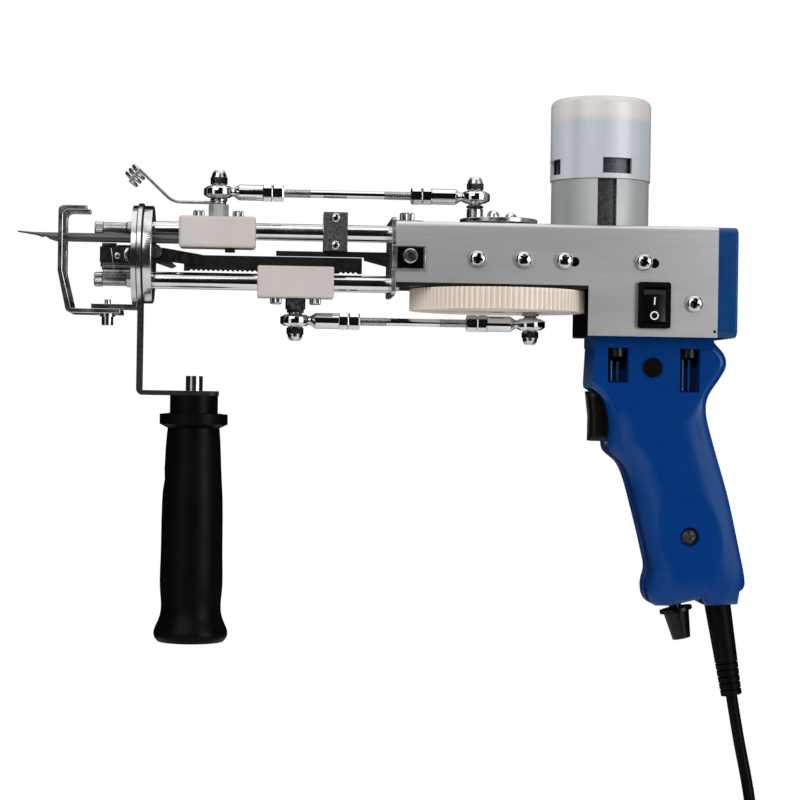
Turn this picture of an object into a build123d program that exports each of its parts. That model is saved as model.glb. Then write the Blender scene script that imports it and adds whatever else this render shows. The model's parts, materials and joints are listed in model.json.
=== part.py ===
"""Handheld tufting machine, upright as in use. Millimetres, +X to the rear, +Y away from the side
with the rocker switch, +Z up. The origin is inside the pistol grip, where a hand holds it."""

import math
import os

from build123d import *

os.makedirs("parts", exist_ok=True)

# Clearances and overruns
fit = 0.05
pass_gap = 0.3
overrun = 4.0

# Gear train
gear_module = 0.8
gear_teeth = 103
pinion_teeth = 18
gear_thick = 10.0
gear_web_thick = 6.0
gear_rim_width = 6.0
gear_hub_radius = 11.0
addendum_share = 0.88
dedendum_share = 1.25
tooth_backlash = 0.1
pressure_angle = 20
flank_points = 3
crank_shaft_radius = 4.0
motor_shaft_radius = 2.5
shaft_x = -82.0
motor_x = shaft_x + gear_module * (gear_teeth + pinion_teeth) / 2
gear_top = 88.9
gear_bottom = gear_top - gear_thick

# Housing
housing_front = -132.0
housing_rear = 19.0
housing_top = 119.5
front_bottom = 91.0
rear_bottom = 67.7
step_x = -42.0
housing_half_width = 25.0
sheet_wall = 1.5
bend_radius = 2.4
cover_reach = 9.6
cover_corner = 4.0
cover_wall = 2.0
cover_edge = 1.2
chassis_wall = 1.6
step_wall_x = -38.4
flange_height = 17.0
flange_end_margin = 5.0

# Rods and front rings
rod_radius = 4.0
rod_spread = 23.8
ring_z = 102.9
rod_upper_z = ring_z + rod_spread / 2
rod_lower_z = ring_z - rod_spread / 2
ring_rear = -245.0
ring_radius = 23.0
strap_ring_radius = 24.0
hub_radius = 17.0
rear_disc_thick = 4.5
strap_thick = 2.5
strap_play = 0.1
front_disc_thick = 2.4
window_half_width = 9.5
window_low = 95.2
window_high = 108.6
notch_half_width = 2.6
notch_high = 112.7
m4_radius = 2.0
m4_nut_flats = 7.0
m4_nut_height = 3.2
rear_nut_flats = 6.0
m4_head_radius = 3.5
m4_head_height = 4.0
m4_socket_flats = 3.0
m4_socket_depth = 2.0
sleeve_radius = 3.1
sleeve_length = 11.0
m3_radius = 1.5
m3_head_radius = 2.75
m3_head_height = 3.0
m3_socket_flats = 2.5
m3_socket_depth = 1.5
bolt_grip = 8.0

strap_rear = ring_rear - rear_disc_thick - strap_play
strap_front = strap_rear - strap_thick
disc_rear = strap_front - strap_play
disc_front = disc_rear - front_disc_thick

# Front plate
plate_thick = 2.0
plate_high = 121.2
plate_low = 85.0
plate_tab_reach = 13.6
tab_thick = 1.6
side_tab_low = 96.6
side_tab_high = 108.0
top_tab_half_width = 8.0
cap_head_x = -125.7
plate_front = housing_front - plate_thick

# Carriages
slider_length = 36.0
slider_half_width = 8.5
needle_slider_front = -233.2
needle_slider_low = 106.5
needle_slider_high = 121.3
scissor_slider_front = -196.1
scissor_slider_low = 83.7
scissor_slider_high = 98.5
slider_edge = 1.6
slider_screw_spread = 18.6
needle_stud_x = -214.9
scissor_stud_x = -178.0
upper_link_z = 133.2
lower_link_z = 73.2
upper_throw = 11.4
lower_throw = 15.9
upper_pin_x = shaft_x - upper_throw
lower_pin_x = shaft_x + lower_throw

# Ball joints and links
ball_radius = 4.6
ball_half_height = 3.9
end_radius = 7.1
end_half_height = 3.1
end_edge = 1.3
end_bevel = 2.3
neck_radius = 2.2
neck_end = 7.6
barrel_start = 9.3
stem_radius = 3.7
stem_end = 20.6
stem_hex_end = 25.2
lock_nut_start = 25.6
lock_nut_end = 30.6
thread_end = 43.0
link_thread_radius = 2.0
link_plain_radius = 1.8
link_insert = 6.0
stud_radius = 2.0
stud_base_flats = 8.2
dome_nut_height = 6.3
dome_share = 0.55
crank_nut_height = 5.7
washer_radius = 4.0

# Upper crank
crank_disc_radius = 18.5
crank_disc_low = 120.6
crank_disc_high = 122.8
crank_screw_places = ((-2.9, -3.0), (6.8, 8.0))
crank_screw_radius = 3.0
crank_screw_height = 4.2
crank_boss_radius = 3.9
crank_boss_height = 4.9

# Needle
needle_y = -5.0
needle_z = 110.1
needle_radius = 2.1
needle_tip_x = -308.2
needle_point_x = -300.0
needle_bar_front = -290.0
needle_insert = 10.0
needle_tip_radius = 0.35
needle_point_radius = 0.7
needle_tip_rise = 2.3
needle_bore_radius = 1.2
needle_bore_end = -296.0

# Yarn guide
guide_wire_radius = 0.75
guide_ring_radius = 3.6
guide_eye_radius = 3.7
guide_eye_pitch = 2.3
guide_eye_turns = 3
guide_eye_x = -252.3
guide_eye_z = 142.9
guide_bend_x = -236.4
guide_wire_z = 128.1

# Scissors
bar_front = -230.8
bar_rear = -146.8
bar_low = 95.7
bar_high = 103.2
bar_half_thick = 1.5
bar_tooth_pitch = 2.3
bar_tooth_depth = 0.9
pivot_x = -244.3
pivot_z = 104.3
pivot_radius = 2.0
pivot_head_radius = 3.3
pivot_head_height = 2.0
blade_thick = 2.0
blade_tip_x = -269.9
blade_top = 106.1
blade_middle = 102.6
blade_low = 96.9
blade_block_rear = -254.9
blade_block_low = 98.8
blade_block_depth = 3.0
blade_block_edge = 0.6
arm_width = 4.4
arm_join_x = -222.0
lever_end_x = -236.4
lever_end_z = 97.7

# Clamp on the upper rod, and the guide that keeps the bar level
clamp_front = -165.3
clamp_rear = -154.0
clamp_low = 106.1
clamp_high = 124.3
clamp_inner = 2.0
clamp_outer = 7.0
clamp_screw_high = 121.6
clamp_screw_low = 108.6
clamp_screw_radius = 2.4
clamp_screw_head = 1.6
bracket_half_thick = 2.0
bracket_front = -187.5
bracket_strip_low = 103.6
bracket_strip_high = 105.9
bracket_slant_x = -145.9
bracket_slant_high = 102.1
bracket_slant_low = 99.1

# Motor
can_radius = 21.0
can_wall = 1.5
can_top = 176.0
flux_radius = 23.2
flux_top = 141.4
flux_seam = 9.0
cap_radius = 23.8
cap_wall = 1.8
cap_bottom = 141.6
cap_top = 180.3
cap_top_edge = 3.6
vent_width = 14.4
vent_low = 143.9
vent_height = 7.3
vent_count = 4
vent_turn = 12
motor_boss_radius = 6.5
armature_radius = 15.0
armature_low = 132.0
armature_high = 166.0
rotor_top = 172.0
motor_screw_spread = 14.5
pinion_shaft_low = 68.0

# Bearings
bearing_radius = 8.0
bearing_width = 5.0
bearing_flange_radius = 9.0
bearing_flange = 0.9
pinion_bearing_radius = 4.0
pinion_bearing_width = 2.5
pinion_bearing_flange_radius = 4.6

# Side screws
screw_radius = 2.0
pan_radius = 4.1
pan_height = 2.7
screw_length = 6.0
front_screw_z = 102.4
front_screw_xs = (-94.0, -72.6, -53.5, -16.0)
rear_screw = (8.0, 83.4)
slot_offset = 5.7
slot_radius = 0.9

# Rocker switch
switch_x = -11.2
switch_z = 82.3
bezel_width = 15.4
bezel_height = 21.6
bezel_thick = 1.8
bezel_corner = 1.2
switch_body_width = 13.2
switch_body_height = 19.4
switch_body_depth = 14.0
rocker_width = 10.4
rocker_height = 16.4
rocker_depth = 6.0
rocker_proud = 1.4
rocker_axle_depth = 1.5
rocker_axle_radius = 0.8
rocker_axle_reach = 0.9

# Pistol grip
grip_top = rear_bottom
grip_bottom = -59.3
grip_front = -38.3
grip_rear = 36.6
grip_half_width = 16.0
grip_round = 4.0
grip_band_height = 5.2
grip_band_proud = 0.8
grip_wall = 2.6
grip_front_shares = (
    (0.020, 1.000), (0.013, 0.952), (0.002, 0.810), (0.045, 0.792), (0.085, 0.764), (0.108, 0.722),
    (0.120, 0.650), (0.128, 0.576), (0.150, 0.562), (0.200, 0.538), (0.240, 0.502), (0.264, 0.465),
    (0.310, 0.371), (0.358, 0.264), (0.394, 0.176), (0.404, 0.127), (0.390, 0.093), (0.386, 0.060),
    (0.402, 0.022), (0.432, 0.002),
)
grip_corner_count = 3
grip_bottom_shares = ((0.517, 0.002), (0.627, 0.016), (0.733, 0.032), (0.750, 0.004), (0.955, 0.010))
grip_rear_shares = (
    (0.968, 0.058), (0.999, 0.084), (0.998, 0.103), (0.973, 0.180), (0.928, 0.299), (0.874, 0.430),
    (0.809, 0.556), (0.775, 0.624), (0.747, 0.684), (0.734, 0.744), (0.745, 0.780), (0.786, 0.822),
    (0.832, 0.863), (0.855, 0.891), (0.858, 0.919), (0.829, 0.954), (0.785, 0.982), (0.768, 1.000),
)
cavity_shares = (
    (0.060, 0.955), (0.060, 0.850), (0.160, 0.790), (0.170, 0.600), (0.290, 0.520), (0.370, 0.340),
    (0.445, 0.160), (0.440, 0.060), (0.640, 0.050), (0.790, 0.065), (0.930, 0.110), (0.870, 0.300),
    (0.780, 0.520), (0.710, 0.640), (0.680, 0.740), (0.760, 0.840), (0.790, 0.900), (0.720, 0.955),
)
grip_screw_place = (9.3, -26.2)
grip_screw_recess = 4.6
grip_boss_radius = 5.6
recess_depth = 1.6
pocket_depth = 9.0
front_pocket = (-30.9, -21.2)
rear_pocket = (3.4, 12.8)
pocket_high = 62.4
front_pocket_low = 46.1
rear_pocket_low = 42.0
pocket_wall = 2.0
mount_screw_y = 11.5

# Trigger, lock and speed control
trigger_front = -38.6
trigger_rear = -25.5
trigger_high = 41.9
trigger_low = 18.3
trigger_half_width = 7.5
trigger_slant = 1.4
trigger_edge = 2.0
trigger_pull = 5.0
stem_half_width = 2.5
stem_reach = 7.0
lock_place = (-9.7, 53.4)
lock_radius = 4.6
lock_proud = 1.0
lock_length = 9.0
lock_flange_radius = 6.0
lock_flange_thick = 1.2
switch_module = (-13.2, 4.5)
switch_module_high = 38.0
switch_module_low = 17.0
knob_place = (6.0, -61.0)
knob_tilt = 12.3
knob_disc_radius = 7.8
knob_disc_thick = 1.6
knob_top_radius = 6.15
knob_bottom_radius = 4.3
knob_length = 13.2
pot_radius = 8.0
pot_length = 8.0
pot_shaft_radius = 3.0
pot_depth = 14.0
pot_shaft_reach = 10.0

# Front handle
strap_half_width = 5.5
strap_low = 36.8
strap_foot_thick = 2.3
strap_foot_rear = -213.4
strap_bend = 3.0
handle_x = -225.1
handle_profile_radii = (11.3, 11.3, 16.0, 16.0, 12.2, 12.9, 13.4, 14.1, 14.6, 14.6, 14.1, 15.3, 17.4, 15.4)
handle_profile_drops = (0.0, 8.2, 8.7, 13.4, 15.3, 23.8, 35.1, 46.4, 77.6, 91.8, 100.3, 105.9, 111.6, 115.8)
handle_collar_points = 6
handle_stud_radius = 4.0
handle_stud_top = 46.1
handle_stud_low = -20.0

# Presser foot
foot_thick = 2.2
foot_gap = 9.0
foot_prong_width = 4.5
foot_front = -288.7
foot_top = 124.6
foot_bend_z = 94.0
foot_low_x = -284.5
foot_bottom = 74.5
foot_rear = -259.5
foot_lip_rear = -275.6
foot_bend = 2.6
foot_screw_x = -266.3
foot_slot_front = 4.5
foot_slot_rear = 3.9
tab_front = -273.6
tab_half_width = 6.0
foot_head_height = 4.0
foot_washer_radius = 3.6
foot_washer_thick = 1.0
foot_thread_proud = 2.2

# Mains lead
cord_radius = 2.75
relief_top_radius = 6.4
relief_end_radius = 5.0
relief_length = 45.6
relief_tilt = 9.75
relief_top = (26.0, -57.4)
relief_ribs = 5
relief_groove_width = 1.6
relief_groove_depth = 1.1
run_share = 0.45
coil_mean_radius = 31.0
coil_pitch = 6.7
coil_layer_pitch = 6.5
coil_layers = 4
coil_turns_per_layer = 1.875
coil_steps_per_layer = 8
coil_climb_turns = 0.5
coil_climb_steps = 2
cord_points = (
    (37.2, 0.0, -122.6),
    (41.2, -1.8, -142.0),
    (43.4, -5.8, -160.0),
    (44.0, -9.75, -177.0),
    (44.0, -9.75, -192.0),
)
tie_width = 6.0
tie_wall = 1.2
plug_tail = 25.0
plug_half_width = 17.6
plug_half_thick = 7.0
plug_length = 34.0
plug_neck_radius = 4.5
plug_neck_length = 10.0
plug_round_share = 0.9
plug_pin_radius = 2.0
plug_pin_length = 19.0
plug_pin_spread = 19.0


def block(x, y, z, mode=Mode.ADD):
    """A box between two values on each axis."""
    with Locations(((x[0] + x[1]) / 2, (y[0] + y[1]) / 2, (z[0] + z[1]) / 2)):
        Box(abs(x[1] - x[0]), abs(y[1] - y[0]), abs(z[1] - z[0]), mode=mode)


def place_on(axis, centre, along):
    """A point from its value along an axis and its two other coordinates in X, Y, Z order."""
    return {
        "x": (along, centre[0], centre[1]),
        "y": (centre[0], along, centre[1]),
        "z": (centre[0], centre[1], along),
    }[axis]


def rod(axis, centre, radius, start, end, mode=Mode.ADD):
    """A cylinder along an axis, from start to end."""
    spin = {"x": (0, 90, 0), "y": (90, 0, 0), "z": (0, 0, 0)}[axis]
    with Locations(place_on(axis, centre, (start + end) / 2)):
        Cylinder(radius, abs(end - start), rotation=spin, mode=mode)


def taper(axis, centre, start_radius, end_radius, start, end, mode=Mode.ADD):
    """A cone along an axis, with one radius at start and the other at end."""
    spin = {"x": (0, 90, 0), "y": (-90, 0, 0), "z": (0, 0, 0)}[axis]
    low, high = (start_radius, end_radius) if end > start else (end_radius, start_radius)
    with Locations(place_on(axis, centre, (start + end) / 2)):
        Cone(low, high, abs(end - start), rotation=spin, mode=mode)


def hexagon(axis, centre, flats, start, end, mode=Mode.ADD, turn=0):
    """A hexagonal prism along an axis, by its width across flats, turned in degrees about the axis."""
    planes = {"x": Plane.YZ, "y": Plane.XZ, "z": Plane.XY}
    side = -1 if axis == "y" else 1
    with BuildSketch(planes[axis].offset(side * start)) as section:
        with Locations(centre):
            RegularPolygon(flats / 2, 6, major_radius=False, rotation=turn)
    extrude(section.sketch, amount=side * (end - start), mode=mode)


def cap_screw(axis, centre, seat, head_end, shank_end, m4=True):
    """A socket cap screw whose head stands from its seat to head_end."""
    radius = m4_radius if m4 else m3_radius
    head = m4_head_radius if m4 else m3_head_radius
    flats = m4_socket_flats if m4 else m3_socket_flats
    depth = m4_socket_depth if m4 else m3_socket_depth
    way = 1 if head_end > seat else -1
    rod(axis, centre, head, seat, head_end)
    rod(axis, centre, radius, seat, shank_end)
    hexagon(axis, centre, flats, head_end - way * depth, head_end, mode=Mode.SUBTRACT)


def pan_screw(axis, centre, seat, way, head_radius, head_height, shank_radius, length):
    """A pan-head screw whose head stands from its seat along way, plus or minus one."""
    waist = seat + way * head_height / 2
    rod(axis, centre, head_radius, seat, waist)
    taper(axis, centre, head_radius, head_radius * dome_share, waist, seat + way * head_height)
    rod(axis, centre, shank_radius, seat, seat - way * length)


def spur_outline(teeth, centre_x, shift_half=False):
    """The outline of a spur gear about a centre on the X axis, each flank from involute points. A tooth
    lies on the X axis or, when shifted by half a pitch, a gap."""
    pitch = gear_module * teeth / 2
    base = pitch * math.cos(math.radians(pressure_angle))
    tip = pitch + gear_module * addendum_share
    root = pitch - gear_module * dedendum_share
    half_tooth = math.pi / (2 * teeth) - tooth_backlash / pitch
    tangent = math.tan(math.radians(pressure_angle))
    pitch_roll = tangent - math.radians(pressure_angle)
    points = []
    for number in range(teeth):
        middle = 2 * math.pi * (number + (0.5 if shift_half else 0)) / teeth
        flank = []
        low = max(base, root)
        for step in range(flank_points):
            radius = low + (tip - low) * step / (flank_points - 1)
            angle = math.acos(min(1, base / radius))
            roll = math.tan(angle) - angle
            flank.append((radius, half_tooth + pitch_roll - roll))
        if root < low:
            flank.insert(0, (root, flank[0][1]))
        for radius, turn in flank:
            points.append((centre_x + radius * math.cos(middle - turn), radius * math.sin(middle - turn)))
        for radius, turn in reversed(flank):
            points.append((centre_x + radius * math.cos(middle + turn), radius * math.sin(middle + turn)))
    return points


def grip_point(share):
    """A point of the grip's outline, from shares of its length along X and its height."""
    return (grip_front + (grip_rear - grip_front) * share[0],
            grip_bottom + (grip_top - grip_bottom) * share[1])


# Housing
with BuildPart() as housing_shell:
    with BuildSketch(Plane.XZ.offset(-housing_half_width)):
        with BuildLine():
            Polyline(
                (housing_front, front_bottom), (housing_front, housing_top), (housing_rear, housing_top),
                (housing_rear, rear_bottom), (step_x, rear_bottom), (step_x, front_bottom), close=True,
            )
        make_face()
    extrude(amount=2 * housing_half_width)
    long_edges = housing_shell.edges().filter_by(Axis.X).group_by(Axis.Z)[-1]
    fillet(long_edges, bend_radius)
    block(
        (housing_front - overrun, housing_rear + overrun),
        (-housing_half_width + sheet_wall, housing_half_width - sheet_wall),
        (rear_bottom - overrun, housing_top - sheet_wall), mode=Mode.SUBTRACT,
    )
    rod("z", (shaft_x, 0), bearing_radius, housing_top - overrun, housing_top + overrun, mode=Mode.SUBTRACT)
    rod("z", (motor_x, 0), motor_boss_radius, housing_top - overrun, housing_top + overrun,
        mode=Mode.SUBTRACT)
    for side in (-1, 1):
        rod("z", (motor_x, side * motor_screw_spread), m4_radius, housing_top - overrun,
            housing_top + overrun, mode=Mode.SUBTRACT)
        wall = (side * (housing_half_width - overrun), side * (housing_half_width + overrun))
        for screw_x in front_screw_xs:
            rod("y", (screw_x, front_screw_z), screw_radius, *wall, mode=Mode.SUBTRACT)
        rod("y", rear_screw, screw_radius, *wall, mode=Mode.SUBTRACT)
        rod("y", (cap_head_x, ring_z), m4_radius, *wall, mode=Mode.SUBTRACT)
    for screw_x in front_screw_xs[2:]:
        block(
            (screw_x, screw_x + slot_offset), (-housing_half_width - overrun,
                                               -housing_half_width + overrun),
            (front_screw_z - slot_radius, front_screw_z + slot_radius), mode=Mode.SUBTRACT,
        )
    rod("z", (cap_head_x, 0), m4_radius, housing_top - overrun, housing_top + overrun, mode=Mode.SUBTRACT)
    block(
        (switch_x - switch_body_width / 2, switch_x + switch_body_width / 2),
        (-housing_half_width - overrun, -housing_half_width + overrun),
        (switch_z - switch_body_height / 2, switch_z + switch_body_height / 2), mode=Mode.SUBTRACT,
    )
housing_shell.part.label = "housing_shell"
export_step(housing_shell.part, "parts/housing_shell.step")

# Black chassis: the plate over the gear, the wall of the step and the floor of the rear box
chassis_low = front_bottom - chassis_wall
inner_half = housing_half_width - sheet_wall
flange_inner = inner_half - chassis_wall
flange_top = front_bottom + flange_height
with BuildPart() as inner_chassis:
    block((housing_front, step_wall_x), (-housing_half_width, housing_half_width), (chassis_low,
          front_bottom))
    block((step_wall_x - chassis_wall, step_wall_x), (-inner_half, inner_half), (rear_bottom, front_bottom))
    block((step_wall_x - chassis_wall, housing_rear), (-inner_half, inner_half), (rear_bottom,
          rear_bottom + chassis_wall))
    block((step_x, step_wall_x), (-housing_half_width, housing_half_width), (chassis_low, front_bottom),
          mode=Mode.SUBTRACT)
    block((step_x, step_wall_x), (-inner_half, inner_half), (chassis_low, front_bottom))
    for side in (-1, 1):
        block((housing_front + flange_end_margin, housing_rear - flange_end_margin),
              (side * flange_inner, side * inner_half), (front_bottom, flange_top))
        block((step_wall_x, housing_rear - flange_end_margin),
              (side * flange_inner, side * inner_half), (rear_bottom, flange_top))
        wall = (side * (flange_inner - overrun), side * (inner_half + overrun))
        for screw_x in front_screw_xs:
            rod("y", (screw_x, front_screw_z), screw_radius, *wall, mode=Mode.SUBTRACT)
        rod("y", rear_screw, screw_radius, *wall, mode=Mode.SUBTRACT)
        rod("y", (cap_head_x, ring_z), m4_radius, *wall, mode=Mode.SUBTRACT)
        for pocket in (front_pocket, rear_pocket):
            rod("z", ((pocket[0] + pocket[1]) / 2, side * mount_screw_y), m4_radius,
                rear_bottom - overrun, rear_bottom + overrun, mode=Mode.SUBTRACT)
    block(
        (switch_x - switch_body_width / 2, switch_x + switch_body_width / 2), (-inner_half - overrun,
            -flange_inner + overrun),
        (switch_z - switch_body_height / 2, switch_z + switch_body_height / 2), mode=Mode.SUBTRACT,
    )
    rod("z", (shaft_x, 0), bearing_radius, chassis_low - overrun, front_bottom + overrun,
        mode=Mode.SUBTRACT)
    rod("z", (motor_x, 0), pinion_bearing_radius, rear_bottom - overrun, rear_bottom + overrun,
        mode=Mode.SUBTRACT)
    gear_reach = gear_module * (gear_teeth / 2 + addendum_share) + pass_gap * 2
    rod("z", (shaft_x, 0), gear_reach, gear_bottom - 2 * pass_gap, chassis_low, mode=Mode.SUBTRACT)
    pinion_reach = gear_module * (pinion_teeth / 2 + addendum_share) + pass_gap * 2
    rod("z", (motor_x, 0), pinion_reach, gear_bottom - 2 * pass_gap, chassis_low, mode=Mode.SUBTRACT)
    rod("z", (motor_x, 0), pinion_reach, chassis_low, front_bottom, mode=Mode.SUBTRACT)
    block((housing_front - overrun, housing_front + m4_nut_height + pass_gap),
          (-m4_nut_flats, m4_nut_flats), (chassis_low - overrun, front_bottom + overrun),
              mode=Mode.SUBTRACT)
inner_chassis.part.label = "inner_chassis"
export_step(inner_chassis.part, "parts/inner_chassis.step")

# Front plate, with a tab on the top and one on each side
with BuildPart() as front_plate:
    block((plate_front, housing_front), (-housing_half_width, housing_half_width), (plate_low, plate_high))
    fillet(front_plate.edges().filter_by(Axis.X), bend_radius)
    block((plate_front, housing_front + plate_tab_reach), (-top_tab_half_width, top_tab_half_width),
          (housing_top, housing_top + tab_thick))
    for side in (-1, 1):
        block((plate_front, housing_front + plate_tab_reach),
              (side * housing_half_width, side * (housing_half_width + tab_thick)), (side_tab_low,
                  side_tab_high))
        rod("y", (cap_head_x, ring_z), m4_radius, side * (housing_half_width - overrun),
            side * (housing_half_width + overrun), mode=Mode.SUBTRACT)
        rod("x", (0, ring_z + side * rod_spread / 2), m4_radius, plate_front - overrun,
            housing_front + overrun, mode=Mode.SUBTRACT)
    rod("z", (cap_head_x, 0), m4_radius, housing_top - overrun, housing_top + overrun, mode=Mode.SUBTRACT)
front_plate.part.label = "front_plate"
export_step(front_plate.part, "parts/front_plate.step")

# Blue cover on the housing's rear end
with BuildPart() as rear_cover:
    block((housing_rear, housing_rear + cover_reach), (-housing_half_width, housing_half_width),
          (rear_bottom, housing_top))
    fillet(rear_cover.edges().filter_by(Axis.X), cover_corner)
    fillet(rear_cover.faces().sort_by(Axis.X)[-1].edges(), cover_edge)
    block(
        (housing_rear, housing_rear + cover_reach - cover_wall),
        (-housing_half_width + cover_wall, housing_half_width - cover_wall),
        (rear_bottom + cover_wall, housing_top - cover_wall), mode=Mode.SUBTRACT,
    )
rear_cover.part.label = "rear_cover"
export_step(rear_cover.part, "parts/rear_cover.step")

# Pan-head screws: the housing's two sides, the rod clamp and the grip
with BuildPart() as pan_screws:
    for side in (-1, 1):
        for screw_x in front_screw_xs:
            pan_screw("y", (screw_x, front_screw_z), side * housing_half_width, side, pan_radius,
                      pan_height,
                      screw_radius, screw_length)
        pan_screw("y", rear_screw, side * housing_half_width, side, pan_radius, pan_height, screw_radius,
                  screw_length)
    for screw_z in (clamp_screw_high, clamp_screw_low):
        pan_screw("y", ((clamp_front + clamp_rear) / 2, screw_z), -clamp_outer, -1, clamp_screw_radius,
                  clamp_screw_head, m3_radius, 2 * clamp_outer)
    pan_screw("y", grip_screw_place, -grip_half_width + 2 * recess_depth, -1,
              grip_screw_recess - pass_gap * 2,
              recess_depth, m3_radius, grip_half_width)
pan_screws.part.label = "pan_screws"
export_step(pan_screws.part, "parts/pan_screws.step")

# Socket cap screws: three hold the front plate, two run through the sleeves into the guide rods
tab_top = housing_top + tab_thick
head_front = disc_front - m4_nut_height - sleeve_length - m4_head_height
with BuildPart() as cap_screws:
    cap_screw("z", (cap_head_x, 0), tab_top, tab_top + m4_head_height, housing_top - screw_length)
    for side in (-1, 1):
        tab_face = side * (housing_half_width + tab_thick)
        cap_screw("y", (cap_head_x, ring_z), tab_face, tab_face + side * m4_head_height,
                  tab_face - side * screw_length)
        cap_screw("x", (0, ring_z + side * rod_spread / 2), head_front + m4_head_height, head_front,
                  ring_rear + bolt_grip)
cap_screws.part.label = "cap_screws"
export_step(cap_screws.part, "parts/cap_screws.step")

with BuildPart() as rod_nuts:
    for rod_z in (rod_upper_z, rod_lower_z):
        hexagon("x", (0, rod_z), m4_nut_flats, disc_front - m4_nut_height, disc_front)
        hexagon("x", (0, rod_z), rear_nut_flats, housing_front, housing_front + m4_nut_height)
        rod("x", (0, rod_z), m4_radius, disc_front - overrun, disc_front, mode=Mode.SUBTRACT)
        rod("x", (0, rod_z), m4_radius, housing_front, housing_front + overrun, mode=Mode.SUBTRACT)
rod_nuts.part.label = "rod_nuts"
export_step(rod_nuts.part, "parts/rod_nuts.step")

with BuildPart() as rod_sleeves:
    for rod_z in (rod_upper_z, rod_lower_z):
        sleeve_rear = disc_front - m4_nut_height
        rod("x", (0, rod_z), sleeve_radius, sleeve_rear - sleeve_length, sleeve_rear)
        rod("x", (0, rod_z), m4_radius, sleeve_rear - sleeve_length, sleeve_rear, mode=Mode.SUBTRACT)
rod_sleeves.part.label = "rod_sleeves"
export_step(rod_sleeves.part, "parts/rod_sleeves.step")

# Guide rods, each with a tapped front end and a threaded tail behind the front plate
with BuildPart() as guide_rods:
    for rod_z in (rod_upper_z, rod_lower_z):
        rod("x", (0, rod_z), rod_radius, ring_rear, plate_front)
        rod("x", (0, rod_z), m4_radius, plate_front, housing_front + m4_nut_height)
        rod("x", (0, rod_z), m4_radius, ring_rear, ring_rear + bolt_grip, mode=Mode.SUBTRACT)
guide_rods.part.label = "guide_rods"
export_step(guide_rods.part, "parts/guide_rods.step")


def ring_openings():
    """The openings that both front discs share: the window, the needle's notch and the bolt holes."""
    block((disc_front - overrun, ring_rear + overrun), (-window_half_width, window_half_width),
          (window_low, window_high), mode=Mode.SUBTRACT)
    block((disc_front - overrun, ring_rear + overrun), (needle_y - notch_half_width,
          needle_y + notch_half_width),
          (window_high - overrun, notch_high), mode=Mode.SUBTRACT)
    for rod_z in (rod_upper_z, rod_lower_z):
        rod("x", (0, rod_z), m4_radius, disc_front - overrun, ring_rear + overrun, mode=Mode.SUBTRACT)


with BuildPart() as rear_disc:
    rod("x", (0, ring_z), ring_radius, ring_rear - rear_disc_thick, ring_rear)
    fillet(rear_disc.edges().filter_by(GeomType.CIRCLE), strap_thick / 4)
    rod("x", (0, ring_z), hub_radius, disc_rear, ring_rear)
    ring_openings()
rear_disc.part.label = "rear_disc"
export_step(rear_disc.part, "parts/rear_disc.step")

# Front disc, with the tab that carries the presser foot
tab_low = foot_bottom + foot_thick + pass_gap / 3
with BuildPart() as front_disc:
    rod("x", (0, ring_z), ring_radius, disc_front, disc_rear)
    block((disc_front, disc_rear), (-tab_half_width, tab_half_width), (tab_low,
          ring_z - ring_radius + overrun))
    block((tab_front, disc_rear), (-tab_half_width, tab_half_width), (tab_low, tab_low + front_disc_thick))
    fillet(front_disc.edges().filter_by(Axis.Y).group_by(Axis.X)[-1].group_by(Axis.Z)[0], bend_radius / 2)
    rod("z", (foot_screw_x, 0), m3_radius, tab_low - overrun, tab_low + overrun, mode=Mode.SUBTRACT)
    ring_openings()
front_disc.part.label = "front_disc"
export_step(front_disc.part, "parts/front_disc.step")

# Clamp on the upper rod and the bracket that guides the bar
with BuildPart() as rod_clamp:
    for side in (-1, 1):
        block((clamp_front, clamp_rear), (side * clamp_inner, side * clamp_outer), (clamp_low, clamp_high))
    rod("x", (0, rod_upper_z), rod_radius, clamp_front - overrun, clamp_rear + overrun, mode=Mode.SUBTRACT)
    for screw_z in (clamp_screw_high, clamp_screw_low):
        rod("y", ((clamp_front + clamp_rear) / 2, screw_z), m3_radius, -clamp_outer - overrun,
            clamp_outer + overrun, mode=Mode.SUBTRACT)
rod_clamp.part.label = "rod_clamp"
export_step(rod_clamp.part, "parts/rod_clamp.step")

with BuildPart() as guide_bracket:
    with BuildSketch(Plane.XZ.offset(-bracket_half_thick)):
        with BuildLine():
            Polyline(
                (bracket_front, bracket_strip_low), (bracket_front, bracket_strip_high),
                (clamp_front, bracket_strip_high), (clamp_front, rod_upper_z - rod_radius),
                (clamp_rear, rod_upper_z - rod_radius), (clamp_rear, clamp_low), (plate_front, clamp_low),
                (plate_front, bracket_slant_low), (bracket_slant_x, bracket_slant_high),
                (bracket_slant_x, bracket_strip_low), close=True,
            )
        make_face()
    extrude(amount=2 * bracket_half_thick)
    rod("y", ((clamp_front + clamp_rear) / 2, clamp_screw_low), m3_radius, -overrun, overrun,
        mode=Mode.SUBTRACT)
guide_bracket.part.label = "guide_bracket"
export_step(guide_bracket.part, "parts/guide_bracket.step")

# Motor
with BuildPart() as motor_can:
    rod("z", (motor_x, 0), can_radius, housing_top, can_top)
    rod("z", (motor_x, 0), can_radius - can_wall, housing_top + can_wall, can_top - can_wall,
        mode=Mode.SUBTRACT)
    rod("z", (motor_x, 0), motor_boss_radius, housing_top - sheet_wall, housing_top)
    rod("z", (motor_x, 0), motor_shaft_radius + fit, housing_top - overrun, housing_top + overrun,
        mode=Mode.SUBTRACT)
    for side in (-1, 1):
        rod("z", (motor_x, side * motor_screw_spread), m4_radius, housing_top, housing_top + can_wall,
            mode=Mode.SUBTRACT)
motor_can.part.label = "motor_can"
export_step(motor_can.part, "parts/motor_can.step")

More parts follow.
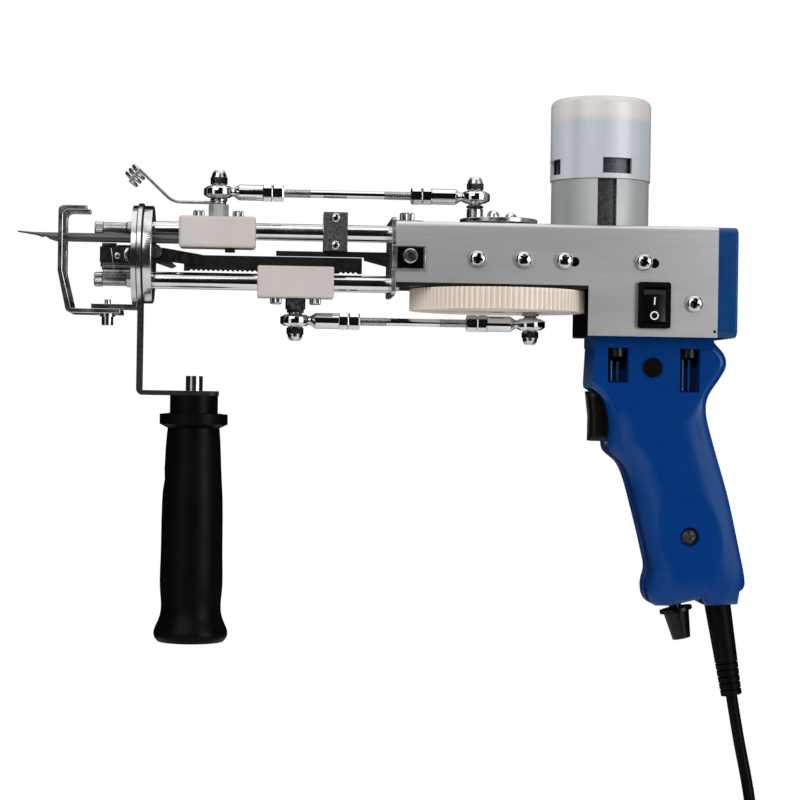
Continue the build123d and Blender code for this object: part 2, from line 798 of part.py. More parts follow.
with BuildPart() as motor_flux_ring:
    rod("z", (motor_x, 0), flux_radius, housing_top, flux_top)
    rod("z", (motor_x, 0), can_radius, housing_top, flux_top, mode=Mode.SUBTRACT)
    block((motor_x - flux_seam / 2, motor_x + flux_seam / 2), (-flux_radius - overrun, 0), (housing_top,
          flux_top),
          mode=Mode.SUBTRACT)
motor_flux_ring.part.label = "motor_flux_ring"
export_step(motor_flux_ring.part, "parts/motor_flux_ring.step")

with BuildPart() as motor_cap:
    rod("z", (motor_x, 0), cap_radius, cap_bottom, cap_top)
    fillet(motor_cap.edges().group_by(Axis.Z)[-1], cap_top_edge)
    rod("z", (motor_x, 0), cap_radius - cap_wall, cap_bottom, cap_top - cap_wall - cap_top_edge / 2,
        mode=Mode.SUBTRACT)
    for number in range(vent_count):
        with Locations(Location((motor_x, 0, vent_low + vent_height / 2), (0, 0,
                       vent_turn - 90 + number * 360 / vent_count))):
            with Locations((cap_radius, 0, 0)):
                Box(2 * overrun, vent_width, vent_height, mode=Mode.SUBTRACT)
    block((motor_x - can_radius, motor_x + can_radius), (-can_wall, can_wall), (can_top,
          cap_top - cap_wall))
motor_cap.part.label = "motor_cap"
export_step(motor_cap.part, "parts/motor_cap.step")

# Screws inside: two hold the motor from below, four hold the grip to the rear box
mount_screw_high = rear_bottom + chassis_wall + m4_nut_height
with BuildPart() as inner_screws:
    for side in (-1, 1):
        under_top = housing_top - sheet_wall
        cap_screw("z", (motor_x, side * motor_screw_spread), under_top, under_top - m4_head_height,
                  housing_top + can_wall)
        for pocket in (front_pocket, rear_pocket):
            cap_screw("z", ((pocket[0] + pocket[1]) / 2, side * mount_screw_y), pocket_high,
                      pocket_high - m4_head_height, mount_screw_high)
inner_screws.part.label = "inner_screws"
export_step(inner_screws.part, "parts/inner_screws.step")

with BuildPart() as shaft_bearings:
    rod("z", (shaft_x, 0), bearing_radius, housing_top - bearing_width, housing_top)
    rod("z", (shaft_x, 0), bearing_flange_radius, housing_top, housing_top + bearing_flange)
    rod("z", (shaft_x, 0), bearing_radius, chassis_low, chassis_low + bearing_width)
    rod("z", (shaft_x, 0), bearing_flange_radius, front_bottom, front_bottom + bearing_flange)
    rod("z", (motor_x, 0), pinion_bearing_radius, rear_bottom, rear_bottom + pinion_bearing_width)
    rod("z", (motor_x, 0), pinion_bearing_flange_radius, rear_bottom + chassis_wall,
        rear_bottom + chassis_wall + bearing_flange)
    rod("z", (shaft_x, 0), crank_shaft_radius + fit, chassis_low - overrun, housing_top + overrun,
        mode=Mode.SUBTRACT)
    rod("z", (motor_x, 0), motor_shaft_radius + fit, rear_bottom - overrun, rear_bottom + 2 * overrun,
        mode=Mode.SUBTRACT)
shaft_bearings.part.label = "shaft_bearings"
export_step(shaft_bearings.part, "parts/shaft_bearings.step")

# Rotor and pinion
with BuildPart() as motor_rotor:
    rod("z", (motor_x, 0), motor_shaft_radius, pinion_shaft_low, rotor_top)
    rod("z", (motor_x, 0), armature_radius, armature_low, armature_high)
motor_rotor.part.label = "motor_rotor"
export_step(motor_rotor.part, "parts/motor_rotor.step")

with BuildPart() as pinion:
    with BuildSketch(Plane.XY.offset(gear_bottom)):
        with BuildLine():
            Polyline(*spur_outline(pinion_teeth, motor_x, pinion_teeth % 2 == 0), close=True)
        make_face()
    extrude(amount=gear_thick)
    rod("z", (motor_x, 0), motor_shaft_radius, gear_bottom - overrun, gear_top + overrun,
        mode=Mode.SUBTRACT)
pinion.part.label = "pinion"
export_step(pinion.part, "parts/pinion.step")

# Main gear, which is the lower crank too
gear_root = gear_module * (gear_teeth / 2 - dedendum_share)
with BuildPart() as main_gear:
    with BuildSketch(Plane.XY.offset(gear_bottom)):
        with BuildLine():
            Polyline(*spur_outline(gear_teeth, shaft_x), close=True)
        make_face()
    extrude(amount=gear_thick)
    with BuildSketch(Plane.XY.offset(gear_top)):
        with Locations((shaft_x, 0)):
            Circle(gear_root - gear_rim_width)
            Circle(gear_hub_radius, mode=Mode.SUBTRACT)
    extrude(amount=-(gear_thick - gear_web_thick), mode=Mode.SUBTRACT)
    rod("z", (shaft_x, 0), crank_shaft_radius, gear_bottom - overrun, gear_top + overrun,
        mode=Mode.SUBTRACT)
main_gear.part.label = "main_gear"
export_step(main_gear.part, "parts/main_gear.step")

with BuildPart() as crank_shaft:
    rod("z", (shaft_x, 0), crank_shaft_radius, gear_bottom, crank_disc_low)
crank_shaft.part.label = "crank_shaft"
export_step(crank_shaft.part, "parts/crank_shaft.step")

with BuildPart() as upper_crank:
    rod("z", (shaft_x, 0), crank_disc_radius, crank_disc_low, crank_disc_high)
    rod("z", (upper_pin_x, 0), crank_boss_radius, crank_disc_high, crank_disc_high + crank_boss_height)
    for place in crank_screw_places:
        pan_screw("z", (shaft_x + place[0], place[1]), crank_disc_high, 1, crank_screw_radius,
                  crank_screw_height, m3_radius, crank_disc_high - crank_disc_low)
upper_crank.part.label = "upper_crank"
export_step(upper_crank.part, "parts/upper_crank.step")


def ball_on(centre_x, centre_z):
    """A ball with flat ends about a vertical axis."""
    with Locations((centre_x, 0, centre_z)):
        Sphere(ball_radius)
    for side in (-1, 1):
        block((centre_x - ball_radius, centre_x + ball_radius), (-ball_radius, ball_radius),
              (centre_z + side * ball_half_height, centre_z + side * (ball_radius + overrun)),
                  mode=Mode.SUBTRACT)


def rod_end(centre_x, centre_z, way):
    """The housing of a ball joint, its stem pointing along X by way, plus or minus one."""
    rod("x", (0, centre_z), neck_radius, centre_x, centre_x + way * neck_end)
    taper("x", (0, centre_z), neck_radius, stem_radius, centre_x + way * neck_end,
          centre_x + way * barrel_start)
    rod("x", (0, centre_z), stem_radius, centre_x + way * barrel_start, centre_x + way * stem_end)
    hexagon("x", (0, centre_z), m4_nut_flats, centre_x + way * stem_end, centre_x + way * stem_hex_end,
            turn=90)
    low, high = centre_z - end_half_height, centre_z + end_half_height
    rod("z", (centre_x, 0), end_radius, low + end_edge, high - end_edge)
    taper("z", (centre_x, 0), end_radius - end_bevel, end_radius, low, low + end_edge)
    taper("z", (centre_x, 0), end_radius, end_radius - end_bevel, high - end_edge, high)
    with Locations((centre_x, 0, centre_z)):
        Sphere(ball_radius + fit, mode=Mode.SUBTRACT)
    rod("x", (0, centre_z), link_thread_radius, centre_x + way * (stem_hex_end - link_insert),
        centre_x + way * (stem_hex_end + overrun), mode=Mode.SUBTRACT)


def link_rod(front_x, rear_x, centre_z):
    """A link's rod, threaded at both ends, with its two lock nuts."""
    rod("x", (0, centre_z), link_plain_radius, front_x + thread_end, rear_x - thread_end)
    for centre_x, way in ((front_x, 1), (rear_x, -1)):
        rod("x", (0, centre_z), link_thread_radius, centre_x + way * (stem_hex_end - link_insert),
            centre_x + way * thread_end)
        hexagon("x", (0, centre_z), m4_nut_flats, centre_x + way * lock_nut_start,
                centre_x + way * lock_nut_end, turn=90)


with BuildPart() as upper_link_rod:
    link_rod(needle_stud_x, upper_pin_x, upper_link_z)
upper_link_rod.part.label = "upper_link_rod"
export_step(upper_link_rod.part, "parts/upper_link_rod.step")

with BuildPart() as upper_link_ends:
    rod_end(needle_stud_x, upper_link_z, 1)
    rod_end(upper_pin_x, upper_link_z, -1)
upper_link_ends.part.label = "upper_link_ends"
export_step(upper_link_ends.part, "parts/upper_link_ends.step")

# The upper crank bolt carries the link's rear ball and stops short of the crank disc's boss
with BuildPart() as upper_crank_bolt:
    ball_low = upper_link_z - ball_half_height
    ball_high = upper_link_z + ball_half_height
    ball_on(upper_pin_x, upper_link_z)
    hexagon("z", (upper_pin_x, 0), m4_nut_flats, crank_disc_high + crank_boss_height + pass_gap, ball_low)
    hexagon("z", (upper_pin_x, 0), m4_nut_flats, ball_high, ball_high + crank_nut_height)
upper_crank_bolt.part.label = "upper_crank_bolt"
export_step(upper_crank_bolt.part, "parts/upper_crank_bolt.step")

with BuildPart() as lower_link_rod:
    link_rod(scissor_stud_x, lower_pin_x, lower_link_z)
lower_link_rod.part.label = "lower_link_rod"
export_step(lower_link_rod.part, "parts/lower_link_rod.step")

with BuildPart() as lower_link_ends:
    rod_end(scissor_stud_x, lower_link_z, 1)
    rod_end(lower_pin_x, lower_link_z, -1)
lower_link_ends.part.label = "lower_link_ends"
export_step(lower_link_ends.part, "parts/lower_link_ends.step")

# The lower crank bolt hangs under the gear in the same way
with BuildPart() as lower_crank_bolt:
    ball_low = lower_link_z - ball_half_height
    ball_high = lower_link_z + ball_half_height
    ball_on(lower_pin_x, lower_link_z)
    hexagon("z", (lower_pin_x, 0), m4_nut_flats, ball_low - crank_nut_height, ball_low)
    hexagon("z", (lower_pin_x, 0), m4_nut_flats, ball_high, gear_bottom - pass_gap)
lower_crank_bolt.part.label = "lower_crank_bolt"
export_step(lower_crank_bolt.part, "parts/lower_crank_bolt.step")


def slider_screw_xs(stud_x):
    """The two screws of a slider, about its stud."""
    return (stud_x - slider_screw_spread / 2, stud_x + slider_screw_spread / 2)


# Needle carriage
slider_rear = needle_slider_front + slider_length
with BuildPart() as needle_slider:
    block((needle_slider_front, slider_rear), (-slider_half_width, slider_half_width),
          (needle_slider_low, needle_slider_high))
    fillet(needle_slider.edges(), slider_edge)
    rod("x", (0, rod_upper_z), rod_radius + fit, needle_slider_front - overrun, slider_rear + overrun,
        mode=Mode.SUBTRACT)
    rod("x", (needle_y, needle_z), needle_radius, needle_slider_front - overrun,
        needle_slider_front + needle_insert, mode=Mode.SUBTRACT)
    rod("x", (needle_y, needle_z), needle_bore_radius, needle_slider_front, slider_rear + overrun,
        mode=Mode.SUBTRACT)
    for screw_x in slider_screw_xs(needle_stud_x):
        rod("z", (screw_x, 0), m3_radius, needle_slider_high - m3_radius, needle_slider_high + overrun,
            mode=Mode.SUBTRACT)
needle_slider.part.label = "needle_slider"
export_step(needle_slider.part, "parts/needle_slider.step")

with BuildPart() as needle_slider_screws:
    for screw_x in slider_screw_xs(needle_stud_x):
        cap_screw("z", (screw_x, 0), needle_slider_high, needle_slider_high + m3_head_height,
                  needle_slider_high - m3_radius, m4=False)
needle_slider_screws.part.label = "needle_slider_screws"
export_step(needle_slider_screws.part, "parts/needle_slider_screws.step")

wire_low = guide_wire_z - guide_wire_radius
wire_high = guide_wire_z + guide_wire_radius
ball_low = upper_link_z - ball_half_height
ball_high = upper_link_z + ball_half_height
with BuildPart() as needle_stud:
    ball_on(needle_stud_x, upper_link_z)
    hexagon("z", (needle_stud_x, 0), stud_base_flats, needle_slider_high, wire_low)
    rod("z", (needle_stud_x, 0), stud_radius, wire_low, wire_high)
    rod("z", (needle_stud_x, 0), washer_radius, wire_high, ball_low)
    hexagon("z", (needle_stud_x, 0), m4_nut_flats, ball_high, ball_high + dome_nut_height / 2)
    taper("z", (needle_stud_x, 0), m4_nut_flats / 2, m4_nut_flats / 2 * dome_share,
          ball_high + dome_nut_height / 2, ball_high + dome_nut_height)
needle_stud.part.label = "needle_stud"
export_step(needle_stud.part, "parts/needle_stud.step")

# Hollow needle: a round bar with a slanted beak whose point is level with the bar's top
with BuildPart() as needle:
    rod("x", (needle_y, needle_z), needle_radius, needle_bar_front, needle_slider_front + needle_insert)
    with BuildSketch(Plane.YZ.offset(needle_bar_front)):
        with Locations((needle_y, needle_z)):
            Circle(needle_radius)
    with BuildSketch(Plane.YZ.offset(needle_point_x)):
        with Locations((needle_y, needle_z + needle_radius - needle_point_radius)):
            Circle(needle_point_radius)
    with BuildSketch(Plane.YZ.offset(needle_tip_x)):
        with Locations((needle_y, needle_z + needle_tip_rise)):
            Circle(needle_tip_radius)
    loft(ruled=True)
    rod("x", (needle_y, needle_z), needle_bore_radius, needle_bore_end, needle_slider_front + needle_insert,
        mode=Mode.SUBTRACT)
needle.part.label = "needle"
export_step(needle.part, "parts/needle.step")


def biarc(start, start_way, end, end_way):
    """Two arcs between two points, each tangent to its given direction, as a list of edges."""
    span = end - start
    both = start_way + end_way
    spread = 2 * (1 - start_way.dot(end_way))
    reach = (-span.dot(both) + math.sqrt(span.dot(both) ** 2 + spread * span.dot(span))) / spread
    middle = (start + end + (start_way - end_way) * reach) * (1 / 2)
    middle_way = (end - end_way * reach - start - start_way * reach).normalized()
    first = Edge.make_tangent_arc(start, start_way, middle)
    second = Edge.make_tangent_arc(middle, middle_way, end)
    return [first, second]


def arcs_through(points, ways):
    """A wire of biarcs through points with their directions."""
    edges = []
    for number in range(len(points) - 1):
        edges += biarc(points[number], ways[number], points[number + 1], ways[number + 1])
    return edges


# Yarn guide: a wire with an eye of three turns at one end and a ring round the stud at the other
arm_way = Vector(guide_bend_x - guide_eye_x, 0, guide_wire_z - guide_eye_z).normalized()
eye_axis = Vector(-arm_way.Z, 0, arm_way.X)
eye_side = Vector(0, 1, 0)
eye_start = Vector(guide_eye_x, 0, guide_eye_z)
eye_centre = eye_start + eye_side * guide_eye_radius
with BuildPart() as yarn_guide:
    eye_points, eye_ways = [], []
    quarters = 4 * guide_eye_turns
    for number in range(quarters + 1):
        turn = math.radians(90 * (quarters - number))
        rise = -guide_eye_pitch * (quarters - number) / 4
        radial = eye_side * -math.cos(turn) + arm_way * -math.sin(turn)
        eye_points.append(eye_centre + radial * guide_eye_radius + eye_axis * rise)
        around = (eye_side * -math.sin(turn) + arm_way * math.cos(turn)) * (2 * math.pi * guide_eye_radius)
        eye_ways.append((around + eye_axis * guide_eye_pitch).normalized())
    eye_edges = arcs_through(eye_points, eye_ways)
    bend = Vector(guide_bend_x, 0, guide_wire_z)
    ring_join = Vector(needle_stud_x - guide_ring_radius + guide_wire_radius, 0, guide_wire_z)
    arm_start = eye_points[-1]
    bend_in = bend - (bend - arm_start).normalized() * guide_ring_radius
    bend_out = bend + Vector(guide_ring_radius, 0, 0)
    with BuildLine() as eye_line:
        for edge in eye_edges:
            add(edge)
    with BuildSketch(Plane(eye_points[0], z_dir=eye_ways[0])):
        Circle(guide_wire_radius)
    sweep(path=eye_line.wire())
    with BuildLine() as arm_line:
        Line(arm_start, bend_in)
        TangentArc(bend_in, bend_out, tangent=(bend - arm_start).normalized())
        Line(bend_out, ring_join)
    with BuildSketch(Plane(arm_start, z_dir=(bend - arm_start).normalized())):
        Circle(guide_wire_radius)
    sweep(path=arm_line.wire())
    with Locations((needle_stud_x, 0, guide_wire_z)):
        Torus(guide_ring_radius - guide_wire_radius, guide_wire_radius)
    with Locations(arm_start):
        Sphere(guide_wire_radius)
yarn_guide.part.label = "yarn_guide"
export_step(yarn_guide.part, "parts/yarn_guide.step")

# Scissor carriage
scissor_slider_rear = scissor_slider_front + slider_length
with BuildPart() as scissor_slider:
    block((scissor_slider_front, scissor_slider_rear), (-slider_half_width, slider_half_width),
          (scissor_slider_low, scissor_slider_high))
    fillet(scissor_slider.edges(), slider_edge / 2)
    rod("x", (0, rod_lower_z), rod_radius + fit, scissor_slider_front - overrun,
        scissor_slider_rear + overrun,
        mode=Mode.SUBTRACT)
    block((scissor_slider_front - overrun, scissor_slider_rear + overrun), (-bar_half_thick,
          bar_half_thick),
          (bar_low, scissor_slider_high + overrun), mode=Mode.SUBTRACT)
    for screw_x in slider_screw_xs(scissor_stud_x):
        rod("z", (screw_x, 0), m3_radius, scissor_slider_low - overrun, scissor_slider_low + m3_radius,
            mode=Mode.SUBTRACT)
scissor_slider.part.label = "scissor_slider"
export_step(scissor_slider.part, "parts/scissor_slider.step")

with BuildPart() as scissor_slider_screws:
    for screw_x in slider_screw_xs(scissor_stud_x):
        cap_screw("z", (screw_x, 0), scissor_slider_low, scissor_slider_low - m3_head_height,
                  scissor_slider_low + m3_radius, m4=False)
scissor_slider_screws.part.label = "scissor_slider_screws"
export_step(scissor_slider_screws.part, "parts/scissor_slider_screws.step")

with BuildPart() as scissor_stud:
    ball_low = lower_link_z - ball_half_height
    ball_high = lower_link_z + ball_half_height
    ball_on(scissor_stud_x, lower_link_z)
    hexagon("z", (scissor_stud_x, 0), stud_base_flats, ball_high, scissor_slider_low)
    hexagon("z", (scissor_stud_x, 0), m4_nut_flats, ball_low - crank_nut_height, ball_low)
scissor_stud.part.label = "scissor_stud"
export_step(scissor_stud.part, "parts/scissor_stud.step")

# Bar with a toothed lower edge, let into the scissor slider
with BuildPart() as scissor_bar:
    tooth_count = int((scissor_slider_front - bar_front) / bar_tooth_pitch) - 1
    rear_count = int((bar_rear - scissor_slider_rear) / bar_tooth_pitch) - 1
    with BuildSketch(Plane.XZ.offset(-bar_half_thick)):
        with BuildLine():
            edge_points = [(bar_front, bar_high), (bar_front, bar_low)]
            for start_x, count in ((bar_front, tooth_count), (scissor_slider_rear, rear_count)):
                for number in range(count):
                    tooth_x = start_x + (number + 1) * bar_tooth_pitch
                    edge_points.append((tooth_x, bar_low))
                    edge_points.append((tooth_x + bar_tooth_pitch / 2, bar_low + bar_tooth_depth))
                edge_points.append((start_x + (count + 1) * bar_tooth_pitch, bar_low))
            edge_points += [(bar_rear, bar_low), (bar_rear, bar_high)]
            Polyline(*edge_points, close=True)
        make_face()
    extrude(amount=2 * bar_half_thick)
scissor_bar.part.label = "scissor_bar"
export_step(scissor_bar.part, "parts/scissor_bar.step")

# Blades: the fixed one, thickened at its head, is joined to the bar, and the moving one turns beside it
fixed_near = -bar_half_thick - blade_thick
with BuildPart() as fixed_blade:
    block_near = fixed_near - blade_block_depth
    block((blade_tip_x, blade_block_rear), (block_near, fixed_near), (blade_block_low, blade_top))
    chamfer(fixed_blade.edges().filter_by(lambda edge: edge.center().Y < block_near + fit),
            blade_block_edge)
    with BuildSketch(Plane.XZ.offset(-fixed_near)):
        with BuildLine():
            Polyline(
                (blade_tip_x, blade_middle), (blade_tip_x, blade_top), (pivot_x + arm_width, blade_top),
                (arm_join_x, bar_high), (arm_join_x, bar_high - arm_width), (bar_front,
                    bar_high - arm_width),
                (pivot_x, blade_middle - arm_width / 2), close=True,
            )
        make_face()
    extrude(amount=-blade_thick)
    rod("y", (pivot_x, pivot_z), pivot_radius, -2 * overrun, 2 * overrun, mode=Mode.SUBTRACT)
fixed_blade.part.label = "fixed_blade"
export_step(fixed_blade.part, "parts/fixed_blade.step")

moving_near = -bar_half_thick + fit
moving_far = moving_near + blade_thick
with BuildPart() as moving_blade:
    with BuildSketch(Plane.XZ.offset(-moving_near)):
        with BuildLine():
            Polyline(
                (blade_tip_x, blade_low), (blade_tip_x, blade_middle), (pivot_x, pivot_z + arm_width / 2),
                (pivot_x + arm_width / 2, pivot_z), (lever_end_x + arm_width / 2, lever_end_z),
                (lever_end_x, lever_end_z - arm_width / 4), (pivot_x - arm_width / 2,
                    pivot_z - arm_width), close=True,
            )
        make_face()
    extrude(amount=-blade_thick)
    rod("y", (pivot_x, pivot_z), pivot_radius + fit, -2 * overrun, 2 * overrun, mode=Mode.SUBTRACT)
moving_blade.part.label = "moving_blade"
export_step(moving_blade.part, "parts/moving_blade.step")

with BuildPart() as blade_pivot:
    rod("y", (pivot_x, pivot_z), pivot_radius, fixed_near, moving_far + fit)
    rod("y", (pivot_x, pivot_z), pivot_head_radius, moving_far + fit, moving_far + fit + pivot_head_height)
    rod("y", (pivot_x, pivot_z), pivot_head_radius, fixed_near - pivot_head_height, fixed_near)
blade_pivot.part.label = "blade_pivot"
export_step(blade_pivot.part, "parts/blade_pivot.step")

# Front handle: a strap that turns between the two front discs, a stud and a rubber grip
with BuildPart() as handle_strap:
    rod("x", (0, ring_z), strap_ring_radius, strap_front, strap_rear)
    block((strap_front, strap_rear), (-strap_half_width, strap_half_width), (strap_low, ring_z))
    block((strap_front, strap_foot_rear), (-strap_half_width, strap_half_width), (strap_low,
          strap_low + strap_foot_thick))
    corner = handle_strap.edges().filter_by(Axis.Y).filter_by(
        lambda edge: edge.center().Z < strap_low + 2 * strap_foot_thick
        and edge.center().X < strap_rear + fit)
    fillet(corner.sort_by(Axis.X)[0], strap_bend)
    fillet(handle_strap.edges().filter_by(Axis.Z).group_by(Axis.X)[-1], strap_half_width - fit)
    rod("x", (0, ring_z), hub_radius + fit, strap_front - overrun, strap_rear + overrun, mode=Mode.SUBTRACT)
    rod("z", (handle_x, 0), handle_stud_radius, strap_low - overrun, strap_low + overrun,
        mode=Mode.SUBTRACT)
handle_strap.part.label = "handle_strap"
export_step(handle_strap.part, "parts/handle_strap.step")

with BuildPart() as handle_stud:
    rod("z", (handle_x, 0), handle_stud_radius, handle_stud_low, handle_stud_top)
handle_stud.part.label = "handle_stud"
export_step(handle_stud.part, "parts/handle_stud.step")

with BuildPart() as front_handle:
    with BuildSketch(Plane.XZ):
        with BuildLine():
            outline = [(handle_x, strap_low)]
            for radius, drop in zip(handle_profile_radii, handle_profile_drops):
                outline.append((handle_x + radius, strap_low - drop))
            outline.append((handle_x, strap_low - handle_profile_drops[-1]))
            Polyline(*outline[:handle_collar_points])
            Spline(*outline[handle_collar_points - 1:-1])
            Polyline(outline[-2], outline[-1], outline[0])
        make_face()
    revolve(axis=Axis((handle_x, 0, 0), (0, 0, 1)))
    rod("z", (handle_x, 0), handle_stud_radius, handle_stud_low, strap_low + overrun, mode=Mode.SUBTRACT)
front_handle.part.label = "front_handle"
export_step(front_handle.part, "parts/front_handle.step")

# Presser foot: a fork that opens upwards, bent from one strip
prong_outer = foot_gap + foot_prong_width
with BuildPart() as presser_foot:
    with BuildSketch(Plane.XZ.offset(-prong_outer)):
        with BuildLine():
            Polyline(
                (foot_lip_rear, foot_top), (foot_front, foot_top), (foot_front, foot_bend_z),
                (foot_low_x, foot_bottom), (foot_rear, foot_bottom), (foot_rear, foot_bottom + foot_thick),
                (foot_low_x + foot_thick, foot_bottom + foot_thick), (foot_front + foot_thick, foot_bend_z),
                (foot_front + foot_thick, foot_top - foot_thick), (foot_lip_rear, foot_top - foot_thick),
                    close=True,
            )
        make_face()
    extrude(amount=2 * prong_outer)
    bends = presser_foot.edges().filter_by(Axis.Y).filter_by(lambda edge: edge.center().X < foot_low_x + fit)
    fillet(bends, foot_bend)
    block((foot_front - overrun, foot_lip_rear + overrun), (-foot_gap, foot_gap),
          (foot_bottom + foot_thick + overrun, foot_top + overrun), mode=Mode.SUBTRACT)
    rod("z", (foot_screw_x - foot_slot_front, 0), m3_radius + fit, foot_bottom - overrun,
        foot_bottom + overrun,
        mode=Mode.SUBTRACT)
    rod("z", (foot_screw_x + foot_slot_rear, 0), m3_radius + fit, foot_bottom - overrun,
        foot_bottom + overrun,
        mode=Mode.SUBTRACT)
    block((foot_screw_x - foot_slot_front, foot_screw_x + foot_slot_rear), (-m3_radius - fit,
          m3_radius + fit),
          (foot_bottom - overrun, foot_bottom + overrun), mode=Mode.SUBTRACT)
presser_foot.part.label = "presser_foot"
export_step(presser_foot.part, "parts/presser_foot.step")

washer_top = foot_bottom - pass_gap / 3
washer_low = washer_top - foot_washer_thick
with BuildPart() as foot_screw:
    rod("z", (foot_screw_x, 0), foot_washer_radius, washer_low, washer_top)
    cap_screw("z", (foot_screw_x, 0), washer_low, washer_low - foot_head_height,
              tab_low + front_disc_thick + foot_thread_proud, m4=False)
foot_screw.part.label = "foot_screw"
export_step(foot_screw.part, "parts/foot_screw.step")

# Pistol grip
front_points = [grip_point(share) for share in grip_front_shares]
grip_palm_side = [grip_point(share) for share in grip_rear_shares]
grip_top_front = front_points[:grip_corner_count]
grip_finger_side = front_points[grip_corner_count - 1:]
grip_foot = [front_points[-1]] + [grip_point(share) for share in grip_bottom_shares] + [grip_palm_side[0]]
cavity_outline = [grip_point(share) for share in cavity_shares]
recess_floor = grip_half_width - 2 * recess_depth
cavity_half_width = grip_half_width - grip_wall - recess_depth
knob_way = Vector(math.sin(math.radians(knob_tilt)), 0, -math.cos(math.radians(knob_tilt)))
knob_origin = Vector(knob_place[0], 0, knob_place[1])
knob_plane = Plane(knob_origin, x_dir=(0, 1, 0), z_dir=knob_way)
relief_way = Vector(math.sin(math.radians(relief_tilt)), 0, -math.cos(math.radians(relief_tilt)))
relief_origin = Vector(relief_top[0], 0, relief_top[1])
relief_plane = Plane(relief_origin, x_dir=(0, 1, 0), z_dir=relief_way)


def grip_half(side):
    """One half shell of the grip, on the side of Y that side names, plus or minus one."""
    with BuildSketch(Plane.XZ) as outside:
        with BuildLine():
            Polyline(*grip_top_front)
            Spline(*grip_finger_side)
            Polyline(*grip_foot)
            Spline(*grip_palm_side)
            Line(grip_palm_side[-1], grip_top_front[0])
        make_face()
    extrude(outside.sketch, amount=-side * grip_half_width)
    rim = [edge for edge in shell.edges() if abs(edge.center().Y) > grip_half_width - fit
           and edge.center().Z < grip_top_front[-1][1]]
    fillet(rim, grip_round)
    block((grip_top_front[0][0] - grip_band_proud, grip_palm_side[-1][0]),
          (0, side * (grip_half_width + grip_band_proud)), (grip_top - grip_band_height, grip_top))
    with BuildSketch(Plane.XZ) as inside:
        with BuildLine():
            Polyline(*cavity_outline, close=True)
        make_face()
    extrude(inside.sketch, amount=-side * cavity_half_width, mode=Mode.SUBTRACT)


for side, name in ((-1, "grip_shell_near"), (1, "grip_shell_far")):
    with BuildPart() as shell:
        grip_half(side)
        rod("y", grip_screw_place, grip_boss_radius, 0, side * (grip_half_width - recess_depth))
        rod("y", grip_screw_place, grip_screw_recess, side * recess_floor,
            side * (grip_half_width + overrun),
            mode=Mode.SUBTRACT)
        rod("y", grip_screw_place, m3_radius, 0, side * grip_half_width, mode=Mode.SUBTRACT)
        pocket_inner = grip_half_width - pocket_depth
        for pocket, low in ((front_pocket, front_pocket_low), (rear_pocket, rear_pocket_low)):
            block((pocket[0] - pocket_wall, pocket[1] + pocket_wall),
                  (side * (pocket_inner - pocket_wall), side * recess_floor),
                  (low - pocket_wall, grip_top - overrun))
            block(pocket, (side * pocket_inner, side * (grip_half_width + overrun)), (low, pocket_high),
                  mode=Mode.SUBTRACT)
            rod("z", ((pocket[0] + pocket[1]) / 2, side * mount_screw_y), m4_radius, pocket_high - overrun,
                grip_top + overrun, mode=Mode.SUBTRACT)
        block((trigger_front - overrun, trigger_rear + trigger_pull + fit), (0,
              side * (trigger_half_width + fit)),
              (trigger_low - fit, trigger_high + fit), mode=Mode.SUBTRACT)
        if side < 0:
            rod("y", lock_place, lock_radius + fit, 0, side * (grip_half_width + overrun),
                mode=Mode.SUBTRACT)
        with BuildSketch(knob_plane.offset(-pot_depth)):
            Circle(pot_radius)
        extrude(amount=pot_length, mode=Mode.SUBTRACT)
        with BuildSketch(knob_plane.offset(-pot_depth)):
            Circle(pot_shaft_radius + fit)
        extrude(amount=pot_depth + overrun, mode=Mode.SUBTRACT)
        with BuildSketch(relief_plane.offset(-overrun)):
            Circle(relief_top_radius)
        extrude(amount=2 * overrun, mode=Mode.SUBTRACT)
        with BuildSketch(relief_plane.offset(-3 * overrun)):
            Circle(cord_radius + pass_gap)
        extrude(amount=3 * overrun, mode=Mode.SUBTRACT)
    shell.part.label = name
    export_step(shell.part, "parts/" + name + ".step")

with BuildPart() as trigger:
    with BuildSketch(Plane.XZ.offset(-trigger_half_width)):
        with BuildLine():
            Polyline(
                (trigger_front, trigger_high), (trigger_front + trigger_slant,
                                                (trigger_high + trigger_low) / 2),
                (trigger_front + trigger_slant, trigger_low), (trigger_rear, trigger_low),
                (trigger_rear, trigger_high), close=True,
            )
        make_face()
    extrude(amount=2 * trigger_half_width)
    fillet(trigger.edges().filter_by(lambda edge: edge.center().X < trigger_front + 2 * trigger_slant
                                     and abs(edge.center().Y) > trigger_half_width - fit), trigger_edge)
    block((trigger_rear, trigger_rear + stem_reach), (-stem_half_width, stem_half_width),
          ((trigger_high + trigger_low) / 2 - stem_half_width,
           (trigger_high + trigger_low) / 2 + stem_half_width))
trigger.part.label = "trigger"
export_step(trigger.part, "parts/trigger.step")

with BuildPart() as trigger_switch:
    block(switch_module, (-cavity_half_width, cavity_half_width), (switch_module_low, switch_module_high))
trigger_switch.part.label = "trigger_switch"
export_step(trigger_switch.part, "parts/trigger_switch.step")

with BuildPart() as lock_button:
    rod("y", lock_place, lock_radius, -grip_half_width - lock_proud,
        -grip_half_width - lock_proud + lock_length)
    rod("y", lock_place, lock_flange_radius, -cavity_half_width + fit,
        -cavity_half_width + fit + lock_flange_thick)
lock_button.part.label = "lock_button"
export_step(lock_button.part, "parts/lock_button.step")

with BuildPart() as speed_control:
    with BuildSketch(knob_plane.offset(-pot_depth)):
        Circle(pot_radius)
    extrude(amount=pot_length)
    with BuildSketch(knob_plane.offset(-pot_depth + pot_length)):
        Circle(pot_shaft_radius)
    extrude(amount=pot_depth - pot_length + pot_shaft_reach)
speed_control.part.label = "speed_control"
export_step(speed_control.part, "parts/speed_control.step")

